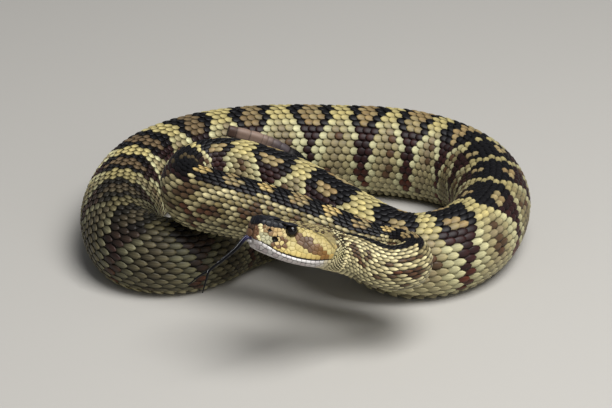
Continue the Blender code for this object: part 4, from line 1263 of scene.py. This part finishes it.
def plate_faces():
    """Triangles of one plate: rings from the sunk edge to the middle, and a closed underside."""
    faces = []
    for ring in range(len(PLATE_RINGS) - 1):
        for corner in range(PLATE_CORNERS):
            beside = (corner + 1) % PLATE_CORNERS
            a, b = ring * PLATE_CORNERS + corner, ring * PLATE_CORNERS + beside
            faces += [(a, b, b + PLATE_CORNERS), (a, b + PLATE_CORNERS, a + PLATE_CORNERS)]
    last = (len(PLATE_RINGS) - 1) * PLATE_CORNERS
    top = len(PLATE_RINGS) * PLATE_CORNERS
    for corner in range(PLATE_CORNERS):
        beside = (corner + 1) % PLATE_CORNERS
        faces.append((last + corner, last + beside, top))
        faces.append((beside, corner, top + 1))
    return np.array(faces)


def plate_values(of_rings, top, underside):
    """A value for every corner of one plate, from those of its rings, its top and its underside."""
    return np.concatenate([np.repeat(of_rings, PLATE_CORNERS), [top, underside]])


def with_middles(rings, middle):
    """The corners of every plate's rings, then the middles of its top and underside."""
    return np.concatenate([rings.reshape(len(middle), -1), middle[:, None], middle[:, None]], axis=1)


def folded_over(place, side):
    """Places past the middle of the crown or of the chin, as places on the other side."""
    side = np.where(place < 0, -side, side)
    place = np.abs(place)
    side = np.where(place > CHIN, -side, side)
    return np.where(place > CHIN, 2 * CHIN - place, place), side


def plate_tints(back, place, side, tip, rng):
    """Colours for every corner of each plate, with painted shade at the rim, less where the head is
    smooth, and on the nape a painted highlight towards each scale's rear tip.
    """
    tint = head_colours(back, place, side, rng.random(len(back)))
    tint = tint * rng.uniform(*PLATE_TINT_SPREAD, (len(back), 1))
    smooth = (place > TEMPLE_EDGE) & (back < SMOOTH_END)
    soft = by_region(back, 1.0, (smooth, 0.5), (smooth & (back > 12.5), 0.35))[:, None]
    edge = plate_values(RIM_PAINTED_SHADES, TOP_PAINTED_HIGHLIGHT, UNDERSIDE_PAINTED_SHADE)
    # Painted shade at the rim, softer on the smooth face; on the nape a painted highlight at each
    # scale's rear tip and shade at its front
    edge = (1.0 - (1.0 - edge) * soft) * (1.0 + 0.6 * tip)
    return tint[:, None] * edge[..., None]


def make_head_plates(rng):
    """All scales of the head as small closed plates on its form, upper head and lower jaw apart."""
    seeds = relaxed_seeds(rng)
    back_by, place_by, place_size = plate_reach(seeds)
    count = len(seeds)
    back, place, side = seeds.T
    ring_back = back[:, None, None] + back_by[:, None] * RING_SHARES[None, :, None]
    ring_place = place[:, None, None] + place_by[:, None] * RING_SHARES[None, :, None]
    upper = (place < LIP)[:, None, None]
    by_mouth = (back < JAW_END + 1.0)[:, None, None]
    margin = (LIP_GAP / place_size)[:, None, None]
    ring_place = np.where(upper & by_mouth, np.minimum(ring_place, LIP - margin), ring_place)
    ring_place = np.where(~upper & by_mouth, np.maximum(ring_place, LIP + margin), ring_place)
    all_back, all_place = with_middles(ring_back, back), with_middles(ring_place, place)
    per = all_back.shape[1]
    tip = np.clip((all_back - back[:, None]) / 0.8, -1.0, 1.0) * fade_in(back, 28.0, 33.0)[:, None]
    level = plate_values(RING_LEVELS, TOP_LEVEL, UNDERSIDE_LEVEL)
    level = np.where(level > 0, level * (1.0 + 0.35 * tip), level)
    height = plate_height(back, place)[:, None] * rng.uniform(*PLATE_HEIGHT_SPREAD, (count, 1))
    all_place, all_side = folded_over(all_place, np.repeat(side[:, None], per, axis=1))
    flat_back = np.clip(all_back, 0.02, HEAD_LENGTH - 0.02).ravel()
    flat_place, flat_side = all_place.ravel(), all_side.ravel()
    bare, _, _, by_place = head_surface(flat_back, flat_place, flat_side)
    lift = skin_lift(bare, flat_back, flat_place, by_place) + (height * level).ravel()
    points = head_surface(flat_back, flat_place, flat_side, lift)[0].reshape(count, per, 3)
    tints = plate_tints(back, place, side, tip, rng)
    tints *= thin_lines(flat_back, flat_place).reshape(count, -1, 1)
    corner = np.append(np.tile(round_angles(PLATE_CORNERS), len(PLATE_RINGS)), [0.0, 0.0])
    local = (0.5 * plate_values(RING_SHARES, 0.0, 0.0)[:, None]
             * np.stack([np.cos(corner), np.sin(corner)], axis=1))
    root = np.stack([back / HEAD_LENGTH, 0.5 + side * place / (2 * CHIN + 0.2)], axis=1)
    pieces = []
    for name, chosen, slot in (("head_plates", place < LIP, "head_skin"),
                               ("jaw_plates", place >= LIP, "jaw_skin")):
        faces = repeated(plate_faces(), int(chosen.sum()), per)
        flip = side[chosen] > 0
        faces[flip] = faces[flip][..., ::-1]
        piece = mesh_piece(name, points[chosen].reshape(-1, 3), faces.reshape(-1, 3))
        set_tint(piece.data, tints[chosen].reshape(-1, 3))
        patch = root[chosen][:, None] + local[None] * BAKE_PATCH
        set_uv(piece.data, "OFBake", patch.reshape(-1, 2))
        pieces.append((piece, slot))
    return pieces


def thin_lines(back, place):
    """How much the thin lines behind the eye darken each place."""
    shade = np.ones(len(back))
    for (first_back, first_place), (last_back, last_place) in STREAKS:
        run = np.array([last_back - first_back, (last_place - first_place) * PLACE_MM])
        offset = np.stack([back - first_back, (place - first_place) * PLACE_MM], axis=1)
        part = np.clip(offset @ run / (run @ run), 0.0, 1.0)
        gap = np.linalg.norm(offset - part[:, None] * run, axis=1)
        shade = np.minimum(shade, 0.32 + 0.68 * fade_in(gap, 0.15, 0.5))
    return shade


def make_brow_plates():
    """The two large scales over the eyes, flat ovals that jut out over them."""
    plates = []
    for sign in (1, -1):
        bpy.ops.mesh.primitive_uv_sphere_add(segments=40, ring_count=20, radius=1.0)
        plate = bpy.context.active_object
        plate.data.transform(Matrix.Diagonal((*(half * MM for half in BROW_PLATE), 1.0)))
        plate.data.transform(Matrix.Rotation(BROW_TILT, 4, "Y"))
        place_in_head(plate, (*BROW_PLACE[:2], BROW_PLACE[2] - BROW_SUNK), sign)
        plates.append(plate)
    select_only(*plates)
    bpy.ops.object.join()
    piece = bpy.context.active_object
    piece.name = piece.data.name = "brow_plates"
    count = len(piece.data.vertices)
    set_tint(piece.data, np.repeat(linear(CAP_BLACK)[None], count, axis=0))
    set_uv(piece.data, "OFBake", np.tile([[0.35, 0.25]], (count, 1)))
    piece.data.shade_smooth()
    return piece


# Plates on the front of the snout and chin: middle out and up, half width and height, colour
SNOUT_PLATES = ((0.0, 2.1, 2.35, 1.55, SNOUT_BROWN), (1.2, 4.6, 1.05, 0.85, "4d382a"),
                (-1.2, 4.6, 1.05, 0.85, "4d382a"))
CHIN_PLATES = ((0.0, -0.85, 1.25, 0.5, "b5b1ad"), (2.05, -0.8, 0.75, 0.55, "b9b5b2"),
               (-2.05, -0.8, 0.75, 0.55, "b9b5b2"))
FACE_MIDDLE, FACE_HALVES, FACE_BULGE = 1.9, (3.1, 4.1), 0.5
FACE_PLATE_HEIGHT = 0.22
FACE_SQUARENESS = 0.75


def make_face_plates(name, plates):
    """The few flat plates that close the front of the snout or chin, on its slight bulge."""
    angle = round_angles(PLATE_CORNERS)
    shares = plate_values(RING_SHARES, 0.0, 0.0)
    levels = plate_values(RING_LEVELS, TOP_LEVEL, UNDERSIDE_LEVEL)
    all_out, all_up = (
        np.append(np.tile(signed_power(ring, FACE_SQUARENESS), len(PLATE_RINGS)), [0.0, 0.0]) * shares
        for ring in (np.cos(angle), np.sin(angle)))
    points, tints, maps = [], [], []
    for out, up, half_out, half_up, colour in plates:
        place_out, place_up = out + all_out * half_out, up + all_up * half_up
        far = ((np.abs(place_out) / FACE_HALVES[0]) ** 2.5
               + (np.abs(place_up - FACE_MIDDLE) / FACE_HALVES[1]) ** 2.5)
        bulge = FACE_BULGE * (1.0 - np.minimum(far, 1.0) ** 0.8)
        points.append(in_head(-bulge - FACE_PLATE_HEIGHT * levels, place_out, place_up))
        # Painted shade at each plate's sunk rim, lighter towards its top
        tints.append(linear(colour) * (0.55 + 0.45 * np.clip(levels, 0.0, 1.0))[:, None])
        maps.append(np.stack([0.01 + 0.5 * all_out * BAKE_PATCH,
                              0.5 + up / 100 + 0.5 * all_up * BAKE_PATCH], axis=1))
    faces = repeated(plate_faces(), len(plates), len(all_out)).reshape(-1, 3)
    piece = mesh_piece(name, np.concatenate(points), faces)
    set_tint(piece.data, np.concatenate(tints))
    set_uv(piece.data, "OFBake", np.concatenate(maps))
    turn_outwards(piece)
    return piece


# Eyes, tongue and rattle

EYE_RIM, PUPIL, IRIS = "080706", "030303", "0f0b09"
PUPIL_AHEAD, PUPIL_HALF, PUPIL_REACH = 0.12, 0.16, 0.75


def place_in_head(piece, place, sign):
    """Moves a piece made about its own middle, X forward, Y left, Z up, to its place in the head."""
    turned = Matrix((Vector(FORWARD), Vector(HEAD_LEFT), Vector(HEAD_UP))).transposed().to_4x4()
    middle = (on_side(place, sign) - MIDDLE) * MM
    piece.data.transform(Matrix.Translation(Vector(middle)) @ turned)


def make_eye(name, sign):
    """A glossy ball with an upright slit pupil, turned a little forward."""
    bpy.ops.mesh.primitive_uv_sphere_add(segments=48, ring_count=32, radius=EYE_RADIUS * MM)
    piece = bpy.context.active_object
    piece.name = piece.data.name = name
    set_tint(piece.data, np.array([eye_tint(vertex.co.normalized(), sign)
                                   for vertex in piece.data.vertices]))
    place_in_head(piece, EYE_PLACE, sign)
    piece.data.shade_smooth()
    return piece


def eye_tint(look, sign):
    """Colour of the eye where it looks in a direction: rim, pupil or iris."""
    ahead, aside, high = look.x, look.y * sign, look.z
    if aside < 0.3:
        return linear(EYE_RIM)
    half = PUPIL_HALF * math.sqrt(max(0.0, 1.0 - (high / PUPIL_REACH) ** 2))
    return linear(PUPIL if abs(ahead - PUPIL_AHEAD) < half else IRIS)


TONGUE_HALVES = (0.75, 0.6)
TONGUE_SPREAD = 0.5
STEM_TAPER, STEM_THINNING, STEM_CLOSING = 0.38, 0.25, 0.45
TINE_TIP = 0.22
NOTCH_INSIDE = 2.1
TINE_ENDS = {1: (-22.1, -5.4, -16.5), -1: (-16.9, -7.0, -19.0)}
TINE_ARCH = 0.5
LEVEL_LENGTH = 8.0
TONGUE_CORNERS, TONGUE_RINGS = 16, 64
TONGUE_STEM = ((-4.6, -2.2, -3.2), (-9.5, -3.0, -7.4), (-14.5, -4.0, -11.4))     # from the snout tip
TONGUE_ROOT, TONGUE_TIP, ROOT_LENGTH = "302c58", "050508", 7.0


def smooth_path(points, count):
    """A smooth curve through points in space, at even places, with those places and the points' own."""
    points = np.array(points, float)
    knots = running_sum(step_lengths(points))
    where = np.linspace(0, knots[-1], count)
    return curve_through(knots, points, where), where, knots


def tongue_strand(sign):
    """One half of the tongue with its tine, as a flat tapering strip."""
    lip_up = head_measures(np.zeros(1))[0, 5]
    middle = [in_head(NOTCH_INSIDE, 0.0, lip_up), in_head(-0.9, 0.0, lip_up - 0.1),
              *(SNOUT + step for step in TONGUE_STEM)]
    end = SNOUT + TINE_ENDS[sign]
    bend = (middle[-1] + end) / 2 + (0, 0, TINE_ARCH)
    curve, where, knots = smooth_path(middle + [bend, end], TONGUE_RINGS)
    fork = knots[len(middle) - 1]
    along = unit(np.gradient(curve, axis=0))
    level = unit(np.cross(direction(0, 0, 1), along))
    turned = np.minimum(1.0, where / LEVEL_LENGTH)[:, None]
    side = HEAD_LEFT * (1 - turned) + level * turned
    side = unit(side - along * (side * along).sum(axis=1, keepdims=True))
    up = np.cross(along, side)
    tine = np.maximum(0.0, (where - fork) / (knots[-1] - fork))[:, None]
    stem = np.minimum(1.0, where / fork)[:, None]
    slim = (1 - STEM_TAPER * stem) * (1 - tine) + TINE_TIP / TONGUE_HALVES[0] * tine
    thin = (1 - STEM_THINNING * stem) * (1 - tine) + TINE_TIP / TONGUE_HALVES[1] * tine
    apart = TONGUE_SPREAD * (1 - STEM_CLOSING * stem) * (1 - tine)
    centre = curve - side * sign * apart
    angle = round_angles(TONGUE_CORNERS)
    points = (centre[:, None]
              + side[:, None] * (np.cos(angle)[None, :, None] * TONGUE_HALVES[0] * slim[:, None])
              + up[:, None] * (np.sin(angle)[None, :, None] * TONGUE_HALVES[1] * thin[:, None]))
    darker = smooth_step(where / ROOT_LENGTH)[:, None]
    tint = linear(TONGUE_ROOT) * (1 - darker) * 0.8 + linear(TONGUE_TIP) * darker
    piece = mesh_piece(f"tongue_half_{'a' if sign > 0 else 'b'}", points.reshape(-1, 3),
                       tube_faces(TONGUE_RINGS, TONGUE_CORNERS))
    set_tint(piece.data, np.repeat(tint, TONGUE_CORNERS, axis=0))
    turn_outwards(piece)
    return piece


def turn_outwards(piece):
    """Closes any open ends and turns the faces outwards."""
    with reworked(piece.data) as shell:
        bmesh.ops.holes_fill(shell, edges=open_edges(shell))
        bmesh.ops.recalc_face_normals(shell, faces=shell.faces)


def make_tongue():
    """The forked tongue: two strands joined as far as the fork."""
    tongue, other = tongue_strand(1), tongue_strand(-1)
    join = tongue.modifiers.new("join", "BOOLEAN")
    join.operation = "UNION"
    join.solver = "EXACT"
    join.object = other
    select_only(tongue)
    bpy.ops.object.modifier_apply(modifier="join")
    bpy.data.objects.remove(other, do_unlink=True)
    tongue.name = tongue.data.name = "forked_tongue"
    tongue.data.shade_smooth()
    return tongue


RATTLE_EDGES = (0.0, 0.15, 0.28, 0.37, 0.45, 0.65, 0.87, 1.0)
RATTLE_HALVES = (2.55, 3.15)
RATTLE_TIP_SCALE = 0.80
RATTLE_CORNERS = 48
RATTLE_GROOVE = 0.16
RATTLE_BASE, RATTLE_HORN, RATTLE_TIP = "433a3c", "7d685b", "3c2a22"
RATTLE_PROFILE = ((0.0, 0.90), (0.06, 0.95), (0.18, 0.99), (0.34, 1.0), (0.50, 0.995), (0.66, 0.98),
                  (0.80, 0.96), (0.92, 0.93), (0.97, 0.90))


def make_rattle():
    """The rattle: hard rings one in another, flat-sided, with a groove along each side."""
    first = body.tail_end + 0.1
    length = body.last - first
    places, sizes, parts = [], [], []
    for start, stop in zip(RATTLE_EDGES[:-1], RATTLE_EDGES[1:]):
        size = 1.0 - (1.0 - RATTLE_TIP_SCALE) * start
        for part, swell in RATTLE_PROFILE:
            places.append(first + length * (start + (stop - start) * part))
            sizes.append(size * swell)
            parts.append(part)
    places.append(first + length * 0.995)
    sizes.append(RATTLE_TIP_SCALE * 0.5)
    parts.append(1.0)
    middle, _, out, up, _, _ = body.at(np.array(places))
    angle = round_angles(RATTLE_CORNERS, 0.0)
    groove = 1.0 - RATTLE_GROOVE * np.abs(np.sin(angle)) ** 6
    size = np.array(sizes)[:, None, None]
    points = (middle[:, None]
              + out[:, None] * (np.sin(angle) * groove * RATTLE_HALVES[0])[None, :, None] * size
              + up[:, None] * (np.cos(angle) * RATTLE_HALVES[1])[None, :, None] * size)
    piece = mesh_piece("rattle_rings", points.reshape(-1, 3), tube_faces(len(places), RATTLE_CORNERS))
    worn = smooth_step((np.array(places) - first) / length)
    horn = mixed(RATTLE_BASE, RATTLE_HORN, smooth_step(worn * 2.0))
    horn = mixed(horn, RATTLE_TIP, 0.9 * fade_in(worn, 0.90, 0.98))
    # Painted shade in the grooves where one ring sits in the next
    shaded_seam = (np.array(parts) < 0.05) | (np.array(parts) > 0.95)
    horn[shaded_seam] *= 0.5
    set_tint(piece.data, np.repeat(horn, RATTLE_CORNERS, axis=0))
    turn_outwards(piece)
    return piece


# Materials

# Roughness, size and depth of the grain in millimetres, specular level, and whether each scale's own
# map adds its painted shade and highlight
FINISHES = {
    # Dry horn: a soft, broad highlight that breaks on every keel, so that the body looks rough
    "keeled_keratin_scales": (0.47, 0.35, 0.03, 0.22, True),
    # Thin matt skin between the scales; its dark tint is painted shade, so that each scale stands apart
    "thin_skin_between_scales": (0.60, 0.35, 0.03, 0.3, False),
    # Smoother horn without keels: the crown and lips have a satin gleam that the body lacks
    "smooth_keratin_head": (0.40, 0.5, 0.02, 0.28, False),
    # A moist surface: a thin bright line along the dark tongue
    "moist_tongue": (0.30, 0.6, 0.01, 0.25, False),
    # The clear scale over the eye is as smooth as glass: one small sharp highlight on black
    "clear_scale_over_eye": (0.08, 0.6, 0.0, 0.3, False),
    # Old dry horn: dull, with a grain that shows on each ring of the rattle
    "dry_rattle_horn": (0.55, 0.4, 0.05, 0.4, False)}
GRAIN_SHADE = (0.0, 1.0, 0.80, 1.16)      # each a span of values and the span that it becomes
# Painted shade at each scale's root and rim, and a painted highlight along its keel and at its tip,
# partly the scales' own paler tips
LEAF_ROOT_SHADE = (0.20, 0.90, 0.22, 1.26)
LEAF_RIM_SHADE = (0.28, 0.50, 1.0, 0.26)
LEAF_KEEL_HIGHLIGHT = (0.02, 0.10, 1.40, 1.0)


def add(tree, kind, settings=None, **links):
    """A node with its settings; each link is an input's name with spaces as underscores."""
    node = tree.nodes.new(kind)
    for name, value in (settings or {}).items():
        if isinstance(name, int) or name in node.inputs:
            node.inputs[name].default_value = value
        else:
            setattr(node, name, value)
    for name, source in links.items():
        tree.links.new(source, node.inputs[name.replace("_", " ")])
    return node


def arithmetic(tree, operation, first, second):
    """A sum or product of two sockets, or of a socket and a number."""
    node = add(tree, "ShaderNodeMath", {"operation": operation})
    for number, value in enumerate((first, second)):
        if isinstance(value, float):
            node.inputs[number].default_value = value
        else:
            tree.links.new(value, node.inputs[number])
    return node.outputs["Value"]


def ramp(tree, value, spans):
    """A socket's values stretched from one span to another."""
    settings = dict(zip(("From Min", "From Max", "To Min", "To Max"), spans))
    return add(tree, "ShaderNodeMapRange", settings, Value=value).outputs["Result"]


def painted_leaf_shade_and_highlight(tree, shade, painted_light_strength):
    """Paints shade at each scale's root and rim and a highlight along its keel and at its tip, from the
    scale's own map.
    """
    own = add(tree, "ShaderNodeUVMap", {"uv_map": "Scale"})
    parts = add(tree, "ShaderNodeSeparateXYZ", Vector=own.outputs["UV"])
    far = arithmetic(tree, "ABSOLUTE", arithmetic(tree, "SUBTRACT", parts.outputs["X"], 0.5), 0.0)
    whole = ramp(tree, parts.outputs["Y"], LEAF_ROOT_SHADE)
    for spans in (LEAF_RIM_SHADE, LEAF_KEEL_HIGHLIGHT):
        whole = arithmetic(tree, "MULTIPLY", whole, ramp(tree, far, spans))
    dimmed = arithmetic(tree, "MULTIPLY", arithmetic(tree, "SUBTRACT", whole, 1.0), painted_light_strength)
    return arithmetic(tree, "MULTIPLY", arithmetic(tree, "ADD", dimmed, 1.0), shade)


def scaly_finish(name, roughness, grain_mm, grain_depth, specular, leaf):
    """A material whose tint comes from each scale, with a fine grain."""
    finish = bpy.data.materials.new(name)
    finish.use_nodes = True
    tree = finish.node_tree
    shader = tree.nodes["Principled BSDF"]
    place = add(tree, "ShaderNodeTexCoord")
    tint = add(tree, "ShaderNodeAttribute", {"attribute_name": "tint"})
    grain = add(tree, "ShaderNodeTexNoise",
                {"Scale": 1.0 / (grain_mm * MM), "Detail": 3.0, "Roughness": 0.6},
                Vector=place.outputs["Object"]).outputs["Fac"]
    shade = ramp(tree, grain, GRAIN_SHADE)
    if leaf:
        # Painted shade and highlight from each scale's own map
        shade = painted_leaf_shade_and_highlight(tree, shade, tint.outputs["Alpha"])
    colour = add(tree, "ShaderNodeVectorMath", {"operation": "MULTIPLY"})
    bump = add(tree, "ShaderNodeBump", {"Strength": 0.5, "Distance": grain_depth * MM}, Height=grain)
    for source, target in ((tint.outputs["Color"], colour.inputs[0]), (shade, colour.inputs[1]),
                           (colour.outputs["Vector"], shader.inputs["Base Color"]),
                           (ramp(tree, grain, (0.0, 1.0, roughness - 0.07, roughness + 0.09)),
                            shader.inputs["Roughness"]),
                           (bump.outputs["Normal"], shader.inputs["Normal"])):
        tree.links.new(source, target)
    shader.inputs["IOR"].default_value = 1.5
    shader.inputs["Specular IOR Level"].default_value = specular
    return finish


def assign(piece, finish):
    piece.data.materials.clear()
    piece.data.materials.append(finish)


# The stage

CAMERA_DISTANCE = 950.0
CAMERA_ELEVATION = math.radians(26.0)
CAMERA_TARGET = np.array([0.0, 0.0, 20.0])
CAMERA_LENS = 134.65
SENSOR_WIDTH = 36.0
FLOOR_PAINT, FLOOR_ROUGHNESS = "aaa7a1", 0.8
ROOM_COLOUR, ROOM_STRENGTH = "dfe3ea", 0.23
# Name, place in metres, size and power of each light
LIGHTS = (("sky_light", (0.32, -0.40, 1.08), 0.7, 21.0), ("front_light", (0.75, -1.05, 0.55), 0.8, 3.6))
LIGHT_AIM = (0, 0, 0.02)


def make_stage():
    """A matt floor, a pale room and two soft lights."""
    bpy.ops.mesh.primitive_plane_add(size=6.0)
    floor = bpy.context.active_object
    floor.name = "floor"
    paint = bpy.data.materials.new("matt_floor_paint")
    paint.use_nodes = True
    shader = paint.node_tree.nodes["Principled BSDF"]
    shader.inputs["Base Color"].default_value = (*linear(FLOOR_PAINT), 1.0)
    shader.inputs["Roughness"].default_value = FLOOR_ROUGHNESS
    assign(floor, paint)
    world = bpy.data.worlds.new("pale_room")
    bpy.context.scene.world = world
    world.use_nodes = True
    room = world.node_tree.nodes["Background"]
    room.inputs["Color"].default_value = (*linear(ROOM_COLOUR), 1.0)
    room.inputs["Strength"].default_value = ROOM_STRENGTH
    for name, place, size, power in LIGHTS:
        lamp = bpy.data.lights.new(name, "AREA")
        lamp.size = size
        lamp.energy = power
        holder = bpy.data.objects.new(name, lamp)
        holder.location = place
        holder.rotation_euler = (Vector(LIGHT_AIM) - Vector(place)).to_track_quat("-Z", "Y").to_euler()
        bpy.context.scene.collection.objects.link(holder)


def make_camera():
    """The camera as it stood for the photograph."""
    bpy.context.scene.view_settings.view_transform = "Standard"
    view = direction(0, math.cos(CAMERA_ELEVATION), -math.sin(CAMERA_ELEVATION))
    lens = bpy.data.cameras.new("photo_camera")
    lens.lens = CAMERA_LENS
    lens.sensor_width = SENSOR_WIDTH
    camera = bpy.data.objects.new("photo_camera", lens)
    camera.location = (CAMERA_TARGET - view * CAMERA_DISTANCE - MIDDLE) * MM
    camera.rotation_euler = Vector(view).to_track_quat("-Z", "Y").to_euler()
    bpy.context.scene.collection.objects.link(camera)
    bpy.context.scene.camera = camera


FLESH_NODES = ("head", "lower_jaw", "neck", "neck_bend", "forebody_front", "forebody_bend",
               "forebody_rear", "midbody_front", "midbody_right", "midbody_corner", "midbody_back",
               "hindbody_corner", "hindbody_bend", "hindbody_under", "tail")


def main():
    rng = np.random.default_rng(SEED)
    finishes = {name: scaly_finish(name, *values) for name, values in FINISHES.items()}
    make_camera()
    make_stage()
    horn, smooth_horn, eye = "keeled_keratin_scales", "smooth_keratin_head", "clear_scale_over_eye"
    finished = [(make_skin(), "scales", "thin_skin_between_scales", FLESH_NODES)]
    finished += [(piece, slot, horn, ()) for piece, slot in make_body_scales(rng)]
    finished += [(make_scutes(rng), "scales", horn, ())]
    finished += [(piece, slot, smooth_horn, ()) for piece, slot in make_head_plates(rng)]
    finished += [(make_face_plates("snout_plates", SNOUT_PLATES), "head_skin", smooth_horn, ()),
                 (make_face_plates("chin_plates", CHIN_PLATES), "jaw_skin", smooth_horn, ()),
                 (make_brow_plates(), "head_skin", smooth_horn, ()),
                 (make_eye("left_eye", 1), "eye", eye, ("eye_left",)),
                 (make_eye("right_eye", -1), "eye", eye, ("eye_right",)),
                 (make_tongue(), "tongue", "moist_tongue", ("tongue",)),
                 (make_rattle(), "rattle", "dry_rattle_horn", ("rattle",))]
    for piece, slot, finish, nodes in finished:
        assign(piece, finishes[finish])
        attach(piece, "root")
        if nodes:
            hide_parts(*nodes)


main()
